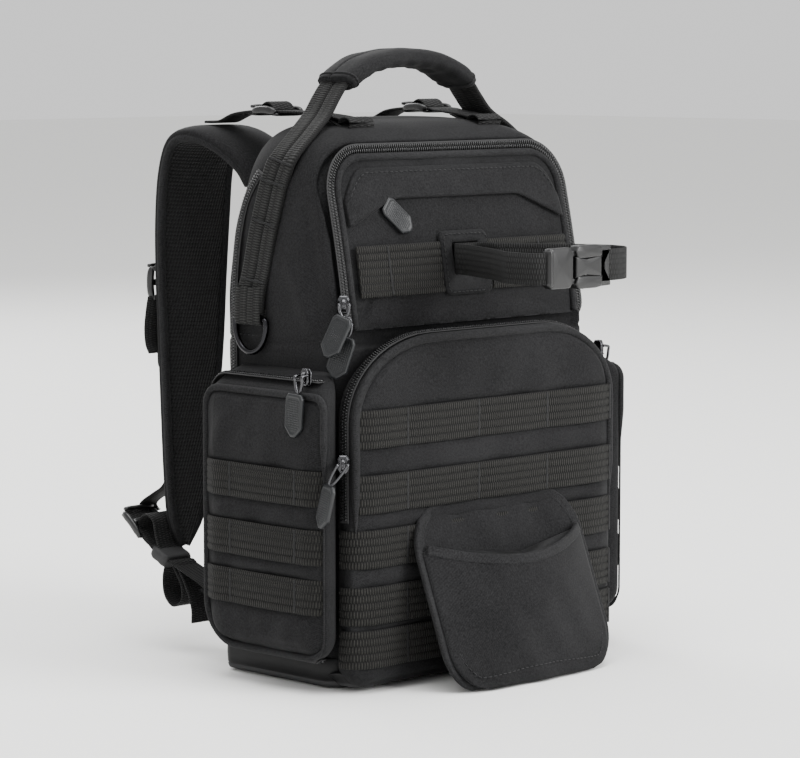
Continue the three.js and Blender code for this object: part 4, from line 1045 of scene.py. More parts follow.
def knitted_mesh(name, dark, light, pitch, by_weave):
    """Air mesh: the product of two sines that run up the two diagonals, raised where it is
    high and a hole where it is low."""
    made, tree, shader = new_material(name, {
        "Roughness": 0.85,
        "Sheen Weight": 0.04,
        "Specular IOR Level": 0.25,
    })
    if by_weave:
        at = node(tree, "ShaderNodeAttribute", attribute_name="weave").outputs["Vector"]
        turns = 2 * np.pi / pitch
    else:
        at = node(tree, "ShaderNodeTexCoord").outputs["Object"]
        turns = 2 * np.pi / (pitch * MM)
    axes = node(tree, "ShaderNodeSeparateXYZ", {0: at}).outputs
    u, v = axes[0], axes[1 if by_weave else 2]
    waves = []
    for slope, density in ((0.75, 0.8), (-1.6, 0.42)):
        run = calc(tree, "MULTIPLY_ADD", v, slope, u)
        waves.append(calc(tree, "SINE", calc(tree, "MULTIPLY", run, turns * density)))
    share = stretched(tree, calc(tree, "MULTIPLY", *waves), -0.5, 0.6)
    tint(tree, shader, share, dark, light)
    raised_by(tree, shader, share, 0.8, 0.0008)
    return made


# The holes are 2.4 mm apart; they are drawn 3.2 mm apart so that they show.
air_mesh = knitted_mesh("knitted_air_mesh", "#040404", "#19191a", 3.2, True)
pad_mesh = knitted_mesh("knitted_air_mesh_back", "#040404", "#19191a", 3.2, False)



def pad_outline(x0, x1, z0, z1, radius, inset, y):
    """A pad's outline seen from behind, set at one depth."""
    x, z = outline((x0, z0), (x1, z1), [(radius, radius)] * 4, inset, (40, 60)).T
    return xyz(x, y, z)


PADS = (
    ("back_pad_left", (-PAD_HALF, -12.0, LONG_FOOT, PAD_HIGH[2], 22)),
    ("back_pad_right", (12.0, PAD_HALF, LONG_FOOT, PAD_HIGH[2], 22)),
    ("back_pad_lumbar", (-PAD_HALF, PAD_HALF, PAD_LOW[2], LUMBAR_TOP, 18)),
)
pad_depth = PAD_HIGH[1] - PAD_LOW[1]
for k, (name, box) in enumerate(PADS):
    # Share of the depth and inset: up the pad's wall, then over its face.
    rows = [(0.0, 1.4), (0.2, 0.5), (0.45, 0.1), (0.68, 0.6), (0.82, 2.0), (0.9, 3.8)]
    for inset in np.linspace(6, min(box[1] - box[0], box[3] - box[2]) / 2 - 1.5, 14):
        rows.append((0.92 + 0.3 * np.sin(np.pi / 2 * min(inset / 26, 1)), inset))
    grid = np.array([pad_outline(*box, inset, PAD_LOW[1] + share * pad_depth) for share, inset in rows])
    grid[..., 1] += swell(grid, 40, 0.4, 41 + k) * (grid[..., 1] > PAD_LOW[1] + 5)
    pad = piece(name, skin(grid), pad_mesh, nodes=["back_pad"])
    edge = pad_outline(*box, -1.2, PAD_LOW[1] + 1.6)
    binding = skin(carry(edge, [0, 1.0, 0], circle(1.9), loop=True), loop=True)
    piece(name + "_binding", binding, trim_nylon)
sheet_box = (2 - PAD_HALF, PAD_HALF - 2, PAD_LOW[2] + 2, PAD_HIGH[2] - 2, 16)
sheet_rows = [(0.0, 0.5), (0.6, 0.0), (1.6, 0.0), (2.2, 0.8), (2.2, 30.0)]
grid = np.array([pad_outline(*sheet_box, inset, PAD_LOW[1] - 0.2 + out) for out, inset in sheet_rows])
piece("back_sheet", skin(grid), pad_mesh)

# Shoulder straps
# Curved foam straps: air mesh on the wearer's side, nylon on the outside, both edges bound with
# a folded strip of nylon. They rise from the back, bend over and hang down.
STRAP_HALF, STRAP_THICK = 31.0, 11.0
HARNESS_REACH = 82.5
STRAP_ROWS = np.array([
    [-0.56, 0.075, 0.884, 0.81],
    [-0.568, 0.182, 0.9175, 0.84],
    [-0.593, 0.4, 0.954, 0.9],
    [-0.61, 0.667, 0.972, 0.97],
    [-0.619, 0.861, 0.957, 0.985],
    [-0.623, 0.958, 0.9, 1],
    [-0.627, 0.994, 0.811, 1],
    [-0.636, 1, 0.7, 0.95],
    [-0.644, 0.994, 0.573, 0.87],
    [-0.661, 0.988, 0.4475, 0.76],
    [-0.678, 0.988, 0.33, 0.63],
    [-0.695, 0.994, 0.246, 0.45],
    [-0.712, 1, 0.194, 0.13],
])
behind = lambda share: BACK + share * HARNESS_REACH
strap_curve = smooth_rows(STRAP_ROWS, 12) * [HALF_WIDTH, HARNESS_REACH, CROWN, STRAP_HALF] + [0, BACK, 0, 0]
strap_curve = even(strap_curve, 2.6, columns=[0, 1, 2])
strap_mid, strap_half = strap_curve[:, :3], strap_curve[:, 3]
strap_ahead = unit(np.gradient(strap_mid, axis=0) * [0, 1, 1])
# On the side that faces the bag the normal points down at the crest and forward lower down.
strap_in = xyz(0, strap_ahead[:, 2], -strap_ahead[:, 1])
section = outline((-1, -1), (1, 1), [(0.22, 0.8)] * 4, counts=(26, 3), turn=5)
puff = 0.1 * (1 - section[:, 0] ** 2) * np.sign(section[:, 1])
section = section + np.stack([0 * puff, puff], -1)
strap_grid = (
    strap_mid[:, None]
    + section[None, :, :1] * strap_half[:, None, None] * np.array([1.0, 0, 0])
    + section[None, :, 1:] * (STRAP_THICK / 2 - 0.6) * strap_in[:, None]
)
inner = (section[:, 1] > 0.55) & (np.abs(section[:, 0]) < 0.93)
strap_weave = xyz(run_length(strap_mid)[:, None], section[:, 0] * strap_half[:, None], inner)
strap = skin(strap_grid, weave=strap_weave)
for pad in both_sides("strap_pad", strap, body_nylon, "shoulder_strap", air_mesh):
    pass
edges = []
for s in (-1.0, 1.0):
    path = strap_mid + np.array([1.0, 0, 0]) * s * (strap_half - 2.2)[:, None] + strap_in * 2.6
    edges.append(skin(carry(path, strap_in, rounded(5.6, 5.2, 2.4))))
both_sides("strap_binding", edges, trim_nylon)

# Load lifters
# Webbing from the crest of each strap to an anchor on the crown, with a moulded ladder lock.
strap_webbing = webbing_cloth("strap_webbing_nylon", "#0a0a0a", "#2a2a2a", 3.3, 1.6, 0.7)
# Acetal moulding: black, satin with a soft highlight on each edge.
acetal, tree, shader = new_material("black_acetal_moulding", {
    "Base Color": linear("#0a0a0b"),
    "Roughness": 0.32,
    "IOR": 1.48,
})
place = node(tree, "ShaderNodeTexCoord").outputs["Object"]
raised_by(tree, shader, noise(tree, place, 1500.0, 1.0), 0.08, 0.0002)


def web_pair(name, path, up, width, thick, ribs, stands_for=None, deep=0.25):
    """A run of strap webbing on both sides of the bag."""
    band = webbing_band(path, up, ribbed(width, thick, ribs, deep))
    both_sides(name, band, strap_webbing, stands_for)


LIFTER_WIDTH = 20.0
LEG_Y = -15.0
lifter_front, lifter_back = LEG_Y - 11, behind(0.715)
over_strap = 0.972 * CROWN + STRAP_THICK / 2 + 1.1 - CROWN
LIFTER_ROWS = [
    [-0.5, 0, -0.1],
    [-0.508, 0.119, 2.1],
    [-0.536, 0.271, 3.9],
    [-0.589, 0.407, 4.9],
    [-0.593, 0.61, 4.9],
    [-0.602, 0.78, 2.7],
    [-0.61, 0.898, over_strap + 1.1],
    [-0.619, 1, over_strap + 0.6],
]
lifter_points = [(u * HALF_WIDTH, lifter_front + v * (lifter_back - lifter_front), CROWN + up)
                 for u, v, up in LIFTER_ROWS]
lifter_path = smooth_path(lifter_points, 1.6)


def upright(run, x, pitch):
    """A smooth run through points given by Y and Z, all at one X."""
    return smooth_path(np.insert(np.array(run, float), 0, x, axis=1), pitch)


def bar(a, b, up, wide, tall):
    """A moulded bar between two points with a rounded section, its ends drawn in."""
    ends = np.array([0.7, 0.92, 1, 1, 1, 1, 1, 0.92, 0.7])[:, None, None]
    return skin(carry(np.linspace(a, b, 9), up, rounded(wide, tall, min(wide, tall) * 0.42) * ends))


def ladder_lock(centre, ahead, up, width=25.0, length=22.0):
    """Ladder lock: two rails that bow up in the middle, two lower cross bars at the ends, a raised
    grip bar at one end and one bar over the webbing between them."""
    centre, ahead, up = np.array(centre, float), unit(np.array(ahead, float)), unit(np.array(up, float))
    side = np.cross(ahead, up)
    t = np.linspace(-1, 1, 15)[:, None]
    full = np.sqrt(np.clip(1.02 - t**6, 0.2, 1))[:, :, None]
    shells = []
    for s in (-1, 1):
        path = centre + ahead * t * length / 2 + side * s * (width / 2) * (1 - 0.06 * t**4)
        path = path + up * (1.4 * (1 - t**2) - 0.4)
        shells.append(skin(carry(path, up, rounded(3.6, 5.2, 1.5) * full)))
    ends = centre - side * width / 2, centre + side * width / 2
    bars = ((-0.44, -1.9, 4.2, 2.2), (0.0, 2.6, 4.4, 2.4), (0.44, -1.9, 4.2, 2.2), (0.52, 3.2, 3.0, 2.6))
    for at, lift, wide, tall in bars:
        move = ahead * at * length + up * lift
        shells.append(bar(ends[0] + move, ends[1] + move, up, wide, tall))
    return shells


web_pair("lifter_web", lifter_path, [0, 0, 1.0], LIFTER_WIDTH, 1.7, 6, "load_lifter")
lock_middle = (np.array(lifter_points[3]) + np.array(lifter_points[4])) / 2
lock = ladder_lock(lock_middle, [0, 1.0, 0], [0, 0, 1.0])
both_sides("lifter_ladder", lock, acetal, "lifter_lock")
# The webbing is doubled over the lock's middle bar.
over = upright([(27, 363.4), (30, 366.8), (34, 368.2), (38, 366.8), (41, 363.4)], -70, 1.0)
web_pair("lifter_turn", over, [0, 0, 1.0], LIFTER_WIDTH - 1, 1.5, 6)
# Anchor: a short folded loop sewn across the crown in front of the lifter's end.
turn = np.radians(np.linspace(-80, 235, 18))
fold = xyz(-59.5, -29 - 5.6 * np.cos(turn), 355.4 + 3.8 * np.sin(turn))
fold = np.vstack([[-60, -8, 359.4], [-59.5, -18, 356.2], fold])
web_pair("lifter_anchor", even(fold, 1.4), [0, 0, 1.0], LIFTER_WIDTH + 2, 1.3, 6, deep=0.2)

# Chest strap
# On the outside of each shoulder strap a moulded slider rides on a strip of webbing; the short
# chest strap is folded under it. Rows: distance off the strap's face, height.
RAIL_ROWS = [(-1, 275), (1.0, 268), (1.2, 230), (0.8, 196), (-1, 190)]
LOOP_ROWS = [(1.5, 238), (3.5, 230), (5.5, 217), (4.5, 206), (1.2, 200)]
face_y = behind(1.0) + STRAP_THICK / 2
rail = upright([(face_y + off, z) for off, z in RAIL_ROWS], -92, 1.5)
web_pair("chest_rail", rail, [0, 1.0, 0], 14.0, 1.4, 4)
slider = ladder_lock([-92, face_y + 2.4, 247], [0, 0, 1.0], [0, 1.0, 0], 21.0, 22.0)
both_sides("chest_slider", slider, acetal)
loop = upright([(face_y + off, z) for off, z in LOOP_ROWS], -97, 1.3)
web_pair("chest_strap", loop, [0, 1.0, 0.1], 19.0, 1.5, 5)

# Lower straps
# A stiff cloth wing at each lower back corner holds the adjusting webbing, which runs up to the
# ladder lock; a sewn tab ties the lock to the shoulder strap. The spare end is rolled in a keeper.
ADJUST_WIDTH = 20.0
pad_face = PAD_HIGH[1]
WING_ROWS = np.array([
    [-0.729, 1.2, 0.0892, 24],
    [-0.771, 9, 0.101, 16],
    [-0.805, 19, 0.1164, 8],
    [-0.822, 29, 0.1315, 2],
])
wing = smooth_rows(WING_ROWS, 6)
wing_path = xyz(wing[:, 0] * HALF_WIDTH, pad_face + wing[:, 1], wing[:, 2] * CROWN)
wing_size = np.stack([ADJUST_WIDTH + wing[:, 3], 0 * wing[:, 3] + 3.6], -1)
wing_grid = carry(wing_path, [0, -19.0, 35.0], rounded(1.0, 1.0, 0.3) * wing_size[:, None])
both_sides("wing_cloth", skin(wing_grid), body_nylon, "strap_wing")
adjust_x = WING_ROWS[3, 0] * HALF_WIDTH
adjust = np.array([
    [pad_face + 9.6, 0.1105 * CROWN],
    [pad_face + 27.6, 0.138 * CROWN],
    [behind(0.643), 0.154 * CROWN],
    [behind(0.861), 0.172 * CROWN],
    [behind(1.055), 0.191 * CROWN],
    [behind(1.406), 0.258 * CROWN],
])
web_pair("adjust_web", upright(adjust, adjust_x, 1.6), [0, -0.5, 1.0], ADJUST_WIDTH, 1.7, 6, "adjust_webbing")
lock_run = adjust[5] - adjust[4]
lock_at = adjust[4] + 0.62 * lock_run
lock_up = unit(np.array([0, -lock_run[1], lock_run[0]]))
lock = ladder_lock([adjust_x, *lock_at], [0, *lock_run], lock_up)
both_sides("lower_ladder", lock, acetal, "lower_lock")
strap_skin = behind(0.988) + STRAP_THICK / 2 + 1.1
tab_points = [
    [strap_skin + 0.1, lock_at[1] + 49],
    [strap_skin + 0.4, lock_at[1] + 33],
    [lock_at[0] - 12, lock_at[1] + 25],
    [lock_at[0] - 2, lock_at[1] + 19],
    [lock_at[0] + 8.5, lock_at[1] + 13],
    [lock_at[0] + 11.5, lock_at[1] + 9],
    [lock_at[0] + 7.5, lock_at[1] + 6],
]
tab_path = upright(tab_points, adjust_x + 12, 1.5)
web_pair("lock_tab_web", tab_path, [0, 1.0, 0.6], 16.0, 1.7, 5, "lock_tab")
# Elastic for the keeper: smooth knitted band, a touch lighter than the webbing.
elastic, tree, shader = new_material("black_knitted_elastic", {
    "Base Color": linear("#1a1a1b"),
    "Roughness": 0.7,
})
fine_grain(tree, shader, 1400.0, 0.0002)
keeper_path = np.linspace([adjust_x, 104.6, 60.0], [adjust_x, 119.1, 66.8], 7)
keeper_full = np.array([0.9, 1, 1, 0.97, 1, 1, 0.9])[:, None, None]
keeper = skin(carry(keeper_path, [0, -0.42, 0.9], rounded(24, 8.6, 2.6) * keeper_full))
both_sides("strap_keeper", keeper, elastic)
# The spare end: a loop above the keeper, a longer loop below it, and the free tail.
SPARE = [
    (116, 68.5), (126, 71), (134, 78), (133.5, 86), (127, 90.5), (120, 87), (117.5, 78),
    (114, 69), (107, 62), (109.5, 50), (108, 38), (100, 31.5), (91.5, 36), (91.5, 46),
    (99, 57), (102, 60.5), (97, 60), (88, 48), (81, 33), (80.5, 22),
]
spare_path = upright(SPARE, adjust_x, 1.3)
spare_out = unit(np.cross(np.gradient(spare_path, axis=0), [1.0, 0, 0]))
web_pair("strap_spare", spare_path, spare_out, ADJUST_WIDTH - 1, 1.4, 6)

# Carry webbing
# Two layers of webbing sewn down the middle, up the side wall, through the grip and down the
# other side; below, each end is folded round the bar of a D-ring.
WEB_WIDTH, WEB_THICK = 25.0, 2.4
HANDLE_TOP = CROWN + 40
HANDLE_Y = -8.0
RING_Z, RING_Y = POCKET_TOP + 8, 3.0
HANG_Z = RING_Z + 5
# Up the wall: share of the way up, share of the way forward, millimetres off the wall. Over the
# top: share of the half width, share of the way forward, share of the rise.
WALL_ROWS = [
    [0, 0, 3.4],
    [0.115, 0.083, 2.8],
    [0.214, 0.166, 0.6],
    [0.403, 0.388, 0.2],
    [0.584, 0.639, 0.3],
    [0.708, 0.805, 0.9],
    [0.815, 1, 2.8],
]
OVER_ROWS = [
    [-0.768, 0.2, -0.1875],
    [-0.636, 0.79, 0.0875],
    [-0.551, 1, 0.375],
    [-0.483, 1, 0.585],
    [-0.322, 1, 0.85],
    [-0.161, 1, 0.965],
    [0, 1, 1],
]
half_run = []
for s, v, off in WALL_ROWS:
    z = HANG_Z + s * (CROWN - HANG_Z)
    half_run.append((-(side_x(z) + 1.5 + WEB_THICK / 2 - 0.4 + off), RING_Y + v * (LEG_Y - RING_Y), z))
for u, v, s in OVER_ROWS:
    half_run.append((u * HALF_WIDTH, LEG_Y + v * (HANDLE_Y - LEG_Y), CROWN + s * (HANDLE_TOP - CROWN)))
carry_points = np.array(half_run + [(-x, y, z) for x, y, z in half_run[-2::-1]])
carry_path = smooth_path(carry_points, 2.0)
carry_ahead = unit(np.gradient(carry_path, axis=0))
carry_out = unit(xyz(-carry_ahead[:, 2], 0, carry_ahead[:, 0]))


def doubled(width, thick):
    """Section of webbing sewn double: two arches with a groove down the middle, and a thicker
    bead along each edge."""
    u = np.linspace(-width / 2 + 0.5, width / 2 - 0.5, 41)
    s = np.abs(u) / (width / 2)
    arches = 0.5 * np.sin(np.pi * np.clip(s, 0, 1))
    groove = 0.9 * np.exp(-((u / 1.0) ** 2))
    bead = 0.45 * np.exp(-(((s - 0.86) / 0.1) ** 2))
    return np.vstack([np.stack([u, thick / 2 + arches - groove + bead], -1), flat_back(width, thick)])


handle_webbing = webbing_cloth("handle_webbing_nylon", "#090909", "#2d2d2c", 6.2, 1.7, 0.9)
# Each end is folded back round the ring's bar, with a little play.
ring_x = -(side_x(RING_Z) + 4.6)
ring_bar = 1.9
fold_r = ring_bar + 1.0
turn = np.pi + np.pi * np.linspace(0, 1, 13)
fold = np.vstack([
    [ring_x - 1.6, RING_Y, HANG_Z + 16],
    [ring_x - 2.6, RING_Y, HANG_Z + 6],
    xyz(ring_x + fold_r * np.cos(turn), RING_Y, RING_Z + fold_r * np.sin(turn)),
    [ring_x + fold_r - 0.2, RING_Y, HANG_Z + 2],
])
fold_path = even(fold, 1.2)
fold_ahead = unit(np.gradient(fold_path, axis=0))
fold_out = xyz(-fold_ahead[:, 2], 0, fold_ahead[:, 0])
fold_section = ribbed(WEB_WIDTH - 1, 1.3, 6, 0.25)
bands = [webbing_band(carry_path, carry_out, doubled(WEB_WIDTH, WEB_THICK))]
for flip in ([1, 1, 1], [-1, 1, 1]):
    bands.append(webbing_band(fold_path * flip, -fold_out * flip, fold_section))
piece("handle_web", bands, handle_webbing, nodes=["carry_webbing"])
tacks = []
for place in (0.5, 0.43, 0.3, 0.11):
    k = int(len(carry_path) * place * 0.42)
    for i in (k, len(carry_path) - 1 - k):
        out = carry_out[i]
        across = unit(np.cross(carry_ahead[i], out))
        tacks.append(bar_stitch(carry_path[i] + out * 2.0, across, out, WEB_WIDTH - 2, 1.6))
piece("handle_web_tacks", tacks, thread)

# Grip
# A padded nylon sleeve, folded round the webbing and sewn along its lower edge. It is fullest in
# the middle and gathers a little where the hand bends it.
grip_part = np.abs(carry_path[:, 0]) < 57.5
grip_path = carry_path[grip_part]
grip_share = np.linspace(-1, 1, len(grip_path))
grip_full = 0.9 + 0.1 * np.clip((1 - np.abs(grip_share)) / 0.16, 0, 1) ** 0.5
grip_section = outline((-1, -1), (1, 1), [(0.34, 0.8)] * 4, counts=(22, 4), turn=7)
grip_size = np.stack([17.6 * grip_full, 5.9 * grip_full], -1)
grip_grid = carry(grip_path, carry_out[grip_part], grip_section * grip_size[:, None])
middle = grip_path[:, None]
across, up = grip_section.T
below = np.clip(-up, 0, 1)
# Gathers along the lower face, strongest in the middle, and one lengthwise seam on top.
gather = 0.9 * below * np.sin(grip_share[:, None] * 26 + across * 1.5) ** 3 * (1 - grip_share[:, None] ** 4)
seam = 0.9 * np.exp(-(((across + 0.18) / 0.05) ** 2)) * (up > 0.5)
lift = gather - seam + swell(grip_grid, 22, 0.35, 51)
grip_grid = grip_grid + unit(grip_grid - middle) * lift[..., None]
grip = piece("grip_sleeve", skin(grip_grid), body_nylon, nodes=["grip"])
cuffs = []
for end in (2, -3):
    ring = middle[end] + (grip_grid[end] - middle[end]) * 0.99
    cuffs.append(skin(carry(ring, carry_ahead[grip_part][end], circle(0.9, 8), loop=True), loop=True))
piece("grip_cuffs", cuffs, trim_nylon)

# D-rings
# Bent steel wire, welded and finished glossy black, hanging flat against the side walls.
ring_steel, tree, shader = new_material("black_nickel_steel", {
    "Base Color": linear("#2c2c2e"),
    "Metallic": 1.0,
    "Roughness": 0.22,
})
fine_grain(tree, shader, 700.0, 0.00003)
RING_HALF, RING_DROP = WEB_WIDTH / 2 + 2.1, 21.0
a = np.linspace(0, np.pi, 40)
bow_run = np.stack([RING_HALF * np.cos(a), -3 - (RING_DROP - 3) * np.sin(a)], -1)
bar_run = np.stack([np.linspace(-RING_HALF + 1.0, RING_HALF - 1.0, 20), np.zeros(20)], -1)
ring_run = np.vstack([bow_run, [[-RING_HALF + 0.1, -1.3]], bar_run, [[RING_HALF - 0.1, -1.3]]])
ring_run = even(np.vstack([ring_run, ring_run[:1]]), 1.3)[:-1]
ring_path = xyz(ring_x, RING_Y + ring_run[:, 0], RING_Z + ring_run[:, 1])
wire = skin(carry(ring_path, [1.0, 0, 0], circle(ring_bar, 14), loop=True), loop=True)
for side, flip in (("left", False), ("right", True)):
    piece("ring_wire_" + side, wire, ring_steel, ["d_ring_" + side], "ring_" + side, flip)

# Load strap
# One length of webbing passes behind the slit patch; its two ends meet in front in a
# side-release buckle, as far apart as the load they hold.
LOAD_WIDTH = 20.0
skin_at_strap = front_y(STRAP_Z)
load_back = skin_at_strap - 3.2 + 0.25
LOAD_REACH = load_back - (box_mm("buckle_plug")[0][1] + box_mm("buckle_plug")[1][1]) / 2
LOAD_ROWS = np.array([
    [-32, 1], [-41.5, 1], [-45.6, 0.963], [-48, 0.881], [-47, 0.753], [-30, 0.496], [-13, 0.147],
    [-10.6, 0.019], [-8.6, 0], [8.6, 0], [10.6, 0.019], [13, 0.147], [27, 0.349], [45, 0.606],
    [51, 0.753], [48, 0.89], [38, 0.972], [26, 0.998], [9, 1],
])
buckle_y = load_back - LOAD_REACH
load_path = even(xyz(LOAD_ROWS[:, 0], load_back - LOAD_ROWS[:, 1] * LOAD_REACH, STRAP_Z), 1.5)
# Its turns are rounded off: each point becomes the mean of five.
load_path = np.stack([np.convolve(np.pad(c, 2, "edge"), np.ones(5) / 5, "valid") for c in load_path.T], -1)
load_ahead = unit(np.gradient(load_path, axis=0))
load_out = xyz(load_ahead[:, 1], -load_ahead[:, 0], 0)
band = webbing_band(load_path, load_out, ribbed(LOAD_WIDTH, 1.6, 6, 0.25))
piece("load_web", band, strap_webbing, nodes=["load_strap"])


def dense(points, pitch=1.0):
    """A closed outline with points at even steps."""
    points = np.array(points, float)
    return even(np.vstack([points, points[:1]]), pitch)[:-1]


def plate(half, *corners):
    """A moulded plate: an outline in X and Z whose edges are rounded by 0.8 mm, from its back to
    its front."""
    points = dense(corners)
    middle = points.mean(0)
    size = np.abs(points - middle).max(0)
    edge = [(half, 0.8), (half - 0.2, 0.24), (half - 0.8, 0)]
    rings = []
    for y, pull in [(-y, pull) for y, pull in edge] + edge[::-1]:
        x, z = (middle + (points - middle) * (1 - pull / size)).T
        rings.append(xyz(x, buckle_y + y, STRAP_Z + z))
    return skin(np.array(rings))


# Buckle: the socket is a flat sleeve with an open window for each prong; the plug's prongs show
# in the windows, and each half has a bar that the webbing turns round.
socket = [
    plate(3.7, (-16, -10), (-13.5, -13.5), (2, -13.6), (8, -12.8), (8, -6.2), (-4, -5.6), (-14, -5.6)),
    plate(3.7, (-16, 10), (-14, 5.6), (-4, 5.6), (8, 6.2), (8, 12.8), (2, 13.6), (-13.5, 13.5)),
    plate(3.4, (-15.5, -6.5), (-6, -5), (6, -6.4), (8, -6.4), (8, 6.4), (6, 6.4), (-6, 5), (-15.5, 6.5)),
    plate(3.0, (6, -13), (17, -12.6), (17, -10.4), (8.5, -10.4),
          (8.5, 10.4), (17, 10.4), (17, 12.6), (6, 13)),
    plate(1.7, (12.6, -12), (17, -12), (17, 12), (12.6, 12)),
]
piece("buckle_socket_shell", socket, acetal, nodes=["buckle_socket"])
plug = [
    plate(3.0, (-40, -10), (-38, -12.6), (-21, -12.6), (-18, -9.5),
          (-18, 9.5), (-21, 12.6), (-38, 12.6), (-40, 10)),
    plate(1.6, (-20, -10.4), (-8.4, -10.4), (-7.6, -14), (-3, -13.6), (-2, -9), (-8, -7), (-20, -6.6)),
    plate(1.6, (-20, 6.6), (-8, 7), (-2, 9), (-3, 13.6), (-7.6, 14), (-8.4, 10.4), (-20, 10.4)),
    plate(3.4, (-39.6, -11), (-36.4, -11), (-36.4, 11), (-39.6, 11)),
]
piece("buckle_plug_shell", plug, acetal, nodes=["buckle_plug"])

# Pouch
# Two sheets of nylon joined by an edge binding, open at the top, for the foot of a long load.
POUCH_LOW, POUCH_HIGH = box_mm("pouch_back")
POUCH_HALF = POUCH_HIGH[0]
POUCH_FOOT, POUCH_TOP = POUCH_LOW[2], POUCH_HIGH[2]
POUCH_FRONT_TOP = POUCH_TOP - 25
LEAN_TOP = -POCKET_FACE - 0.5
LEAN_FOOT = LEAN_TOP - 43.5


def sheet_y(x, z, bulge):
    """Y of a pouch sheet: a slope from foot to head, bulged between its two side edges."""
    s = z / POUCH_TOP
    middle = np.maximum(1 - (np.abs(x) / POUCH_HALF) ** 2, 0)
    return LEAN_FOOT + (LEAN_TOP - LEAN_FOOT) * s - bulge * middle * np.sin(np.minimum(s * 1.3 + 0.25, 1.45))


def pouch_sheet(top, lift, bulge, head, sag):
    """A sheet with round lower corners as a thin closed skin: half width is drawn in by a circle
    at each corner, and the head sags in the middle."""
    s = np.linspace(0, 1, 46)[:, None]
    k = np.linspace(-1, 1, 61)[None]
    up = (top - POUCH_FOOT) * s
    foot = 26.0
    pinch = foot - np.sqrt(np.maximum(foot**2 - np.maximum(foot - up, 0) ** 2, 0))
    left = (top - POUCH_FOOT) - up
    pinch = np.maximum(pinch, head - np.sqrt(np.maximum(head**2 - np.maximum(head - left, 0) ** 2, 0)))
    x = k * (POUCH_HALF - pinch)
    z = POUCH_FOOT + up - sag * s**2 * (1 - k**2) + 0 * x
    y = sheet_y(x, z, bulge) - lift
    grid = xyz(x, y, z)
    grid[..., 1] -= swell(grid, 34, 0.8, 61 + int(lift)) * (1 - k**2)
    return np.concatenate([grid, (grid + [0, -1.4, 0])[:, ::-1]], 1), grid


for name, node_name, top, lift, bulge, head, sag in (
    ("pouch_back_sheet", "pouch_back", POUCH_TOP, 0.0, 0.0, 30.0, 0.0),
    ("pouch_front_sheet", "pouch_front", POUCH_FRONT_TOP, 2.0, 22.0, 3.0, 10.0),
):
    both, grid = pouch_sheet(top, lift, bulge, head, sag)
    sheet = piece(name, skin(both), body_nylon, nodes=[node_name])
    flat = (2 * POUCH_HALF * MM, (top - POUCH_FOOT) * MM * 1.08)
    run = np.vstack([grid[::-1, 0], grid[0, 1:-1], grid[:, -1]]) + [0, -0.7, 0]
    run[:, 2] = np.maximum(run[:, 2], 4.4)
    if name == "pouch_back_sheet":
        run = np.vstack([run, grid[-1, ::-1][1:-1] + [0, -0.7, 0]])
        binding = skin(carry(even(run, 1.6), [0, -1.0, 0], rounded(8.0, 3.4, 1.5), loop=True), loop=True)
    else:
        binding = skin(carry(even(grid[-1] + [0, -0.7, 0], 1.6), [0, -1.0, 0.2], rounded(7.0, 3.0, 1.3)))
    piece(name + "_binding", binding, trim_nylon)
    inner_run = even(run, 2.0)
    inside = inner_run + unit(np.array([0, 0, 50.0]) - inner_run * [1, 0, 1]) * 7 + [0, -1.2, 0]
    piece(name + "_stitches", stitches(inside, [0, -1.0, 0], 2.6, 1.4, 0.6), thread)

# Sliders and pulls
# Die-cast sliders with a bent wire bail, each with a moulded rubber pull that has a raised rim
# and a knurled face.
pull_rubber, _, _ = new_material("grey_moulded_rubber", {
    "Base Color": linear("#101214"),
    "Roughness": 0.45,
    "Specular IOR Level": 0.4,
})
slider_metal, tree, shader = new_material("dark_plated_zinc", {
    "Base Color": linear("#4c4c4e"),
    "Metallic": 1.0,
    "Roughness": 0.24,
})
fine_grain(tree, shader, 700.0, 0.00004)


def turned(points, degrees, axis):
    """Points turned about an axis through the origin."""
    c, s = np.cos(np.radians(degrees)), np.sin(np.radians(degrees))
    i, j = {"x": (1, 2), "y": (2, 0), "z": (0, 1)}[axis]
    out = points.copy()
    out[..., i] = c * points[..., i] - s * points[..., j]
    out[..., j] = s * points[..., i] + c * points[..., j]
    return out


def pull_grid(length, width, thick):
    """Moulded pull: an outline with a pointed foot, built from rings that run over its edge to a
    raised rim, down to a face cut into diamonds by two sines, and the same on its back."""
    right = [(width * 0.36, 0), (width / 2, -3)]
    right += [(width / 2, width * 0.42 - length), (width * 0.12, 0.5 - length)]
    edge = dense([(-width * 0.36, 0)] + right + [(-x, z) for x, z in right[:0:-1]], 0.7)
    middle = np.array([0, -length * 0.46])
    rows = []
    front = [(0.0, 1.0), (0.3, 0.99), (0.42, 0.955), (0.5, 0.9), (0.5, 0.84), (0.36, 0.8)]
    front += [(0.36, k) for k in np.linspace(0.76, 0.04, 22)]
    for sign in (1, -1):
        part = []
        for y, k in front:
            x, z = (middle + (edge - middle) * k).T
            knurl = np.maximum(np.sin(2.2 * (x + z)) * np.sin(2.2 * (x - z)), 0)
            part.append(xyz(x, -sign * (y * thick + 0.55 * knurl * (k < 0.78)), z))
        rows += part[::-1] if sign == 1 else part[1:]
    return np.array(rows)


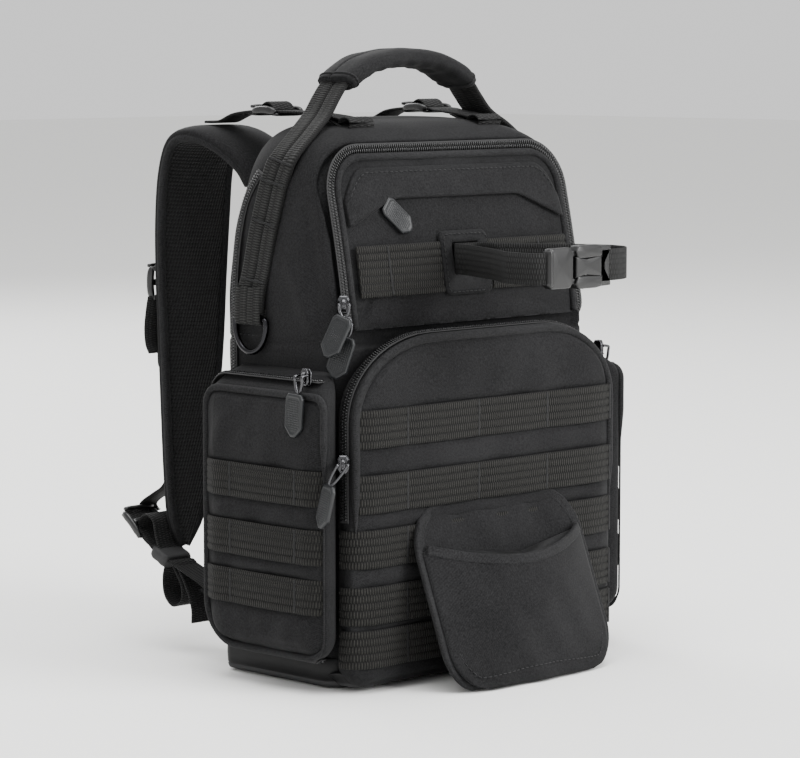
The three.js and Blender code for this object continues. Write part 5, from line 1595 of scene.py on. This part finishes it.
def slider_shells(drop, reach, shift):
    """Slider body as two rounded plates with a bridge between them, and a wire bail."""
    shells = []
    for y, w in ((-1.4, 7.6), (-3.6, 6.4)):
        full = np.array([0.6, 0.85, 1, 1, 0.94, 1, 1, 0.85, 0.6])[:, None, None]
        path = xyz(0, y, np.linspace(-5.6, 5.6, 9))
        shells.append(skin(carry(path, [0, -1.0, 0], rounded(w, 1.5, 0.6) * full)))
    bridge = np.array([[0, -3.8, -3.4], [0, -5.6, -2], [0, -6.0, 0], [0, -5.6, 2], [0, -3.8, 3.4]], float)
    shells.append(skin(carry(smooth_path(bridge, 0.6), [0, -1.0, 0.001], rounded(2.6, 1.2, 0.5))))
    a = np.pi * np.linspace(0, 1, 15)
    wire = xyz(3.2 * np.cos(a) - shift * np.sin(a), -reach, 1 - drop * np.sin(a))
    wire = np.vstack([[3.2, -3.6, 2], wire, [-3.2, -3.6, 2]])
    shells.append(skin(carry(smooth_path(wire, 0.9), [0, -1.0, 0.1], circle(0.95, 8))))
    return shells


def placed(shells, turn, at, spin=0.0, move=(0, 0, 0)):
    """Shells spun about Y, moved, turned about Z and set in their place."""
    out = []
    for points, faces, weave in shells:
        points = turned(points, spin, "y") + np.array(move, float)
        out.append((turned(points, turn, "z") + np.array(at, float), faces, weave))
    return out


PULL_LENGTH, PULL_WIDTH, PULL_THICK = 28.0, 14.5, 3.2
on_zip = lambda up, out: (-PANEL_HALF - 6, front_y(PANEL_FOOT + up) - out, PANEL_FOOT + up)
FRONT_AT = (-POCKET_HALF - 3, -(POCKET_BACK + pocket_depth * 0.66), POCKET_TOP * 0.655)
SIDE_AT = (-SIDE_FACE + 5.4, -SIDE_FRONT + 20, SIDE_TOP - 3.4)
# Name, place, turn about Z, drop and reach of the bail, its shift, tilt and twist of the pull, and
# whether it is mirrored to the right side.
SLIDERS = [
    ("main_upper", on_zip(17, 0.2), -42, 8, 13, 0, 24, -38, False),
    ("main_lower", on_zip(4, 0.6), -42, 8, 5.6, 0, 17, -30, False),
    ("front", FRONT_AT, -45, 13, 12.5, 8, 12, -62, False),
    ("side_left", SIDE_AT, -90, 11, 9, 0, 4, 0, False),
    ("side_right", SIDE_AT, -90, 11, 9, 0, 4, 0, True),
]
for name, at, turn, drop, reach, shift, tilt, twist, flip in SLIDERS:
    shells = placed(slider_shells(drop, reach, shift), turn, at)
    piece("slider_body_" + name, shells, slider_metal, ["slider_" + name], mirrored=flip)
    points, faces, weave = skin(pull_grid(PULL_LENGTH, PULL_WIDTH, PULL_THICK))
    shells = [(turned(points, twist, "z"), faces, weave)]
    shells = placed(shells, turn, at, tilt, (-shift, -reach - 2.8, -drop + 1.6))
    piece("pull_tab_" + name, shells, pull_rubber, ["pull_" + name], mirrored=flip)
flap_pull_top = WEB_TOP + PULL_LENGTH - 2.5
points, faces, weave = skin(pull_grid(PULL_LENGTH, PULL_WIDTH - 0.5, PULL_THICK - 0.6))
points = turned(turned(points, -48, "y"), -11, "x")
points = points + [-FLAP_HALF * 0.667, front_y(flap_pull_top - 5.5) - 3.2, flap_pull_top]
piece("pull_tab_flap", (points, faces, weave), pull_rubber, nodes=["pull_flap"])
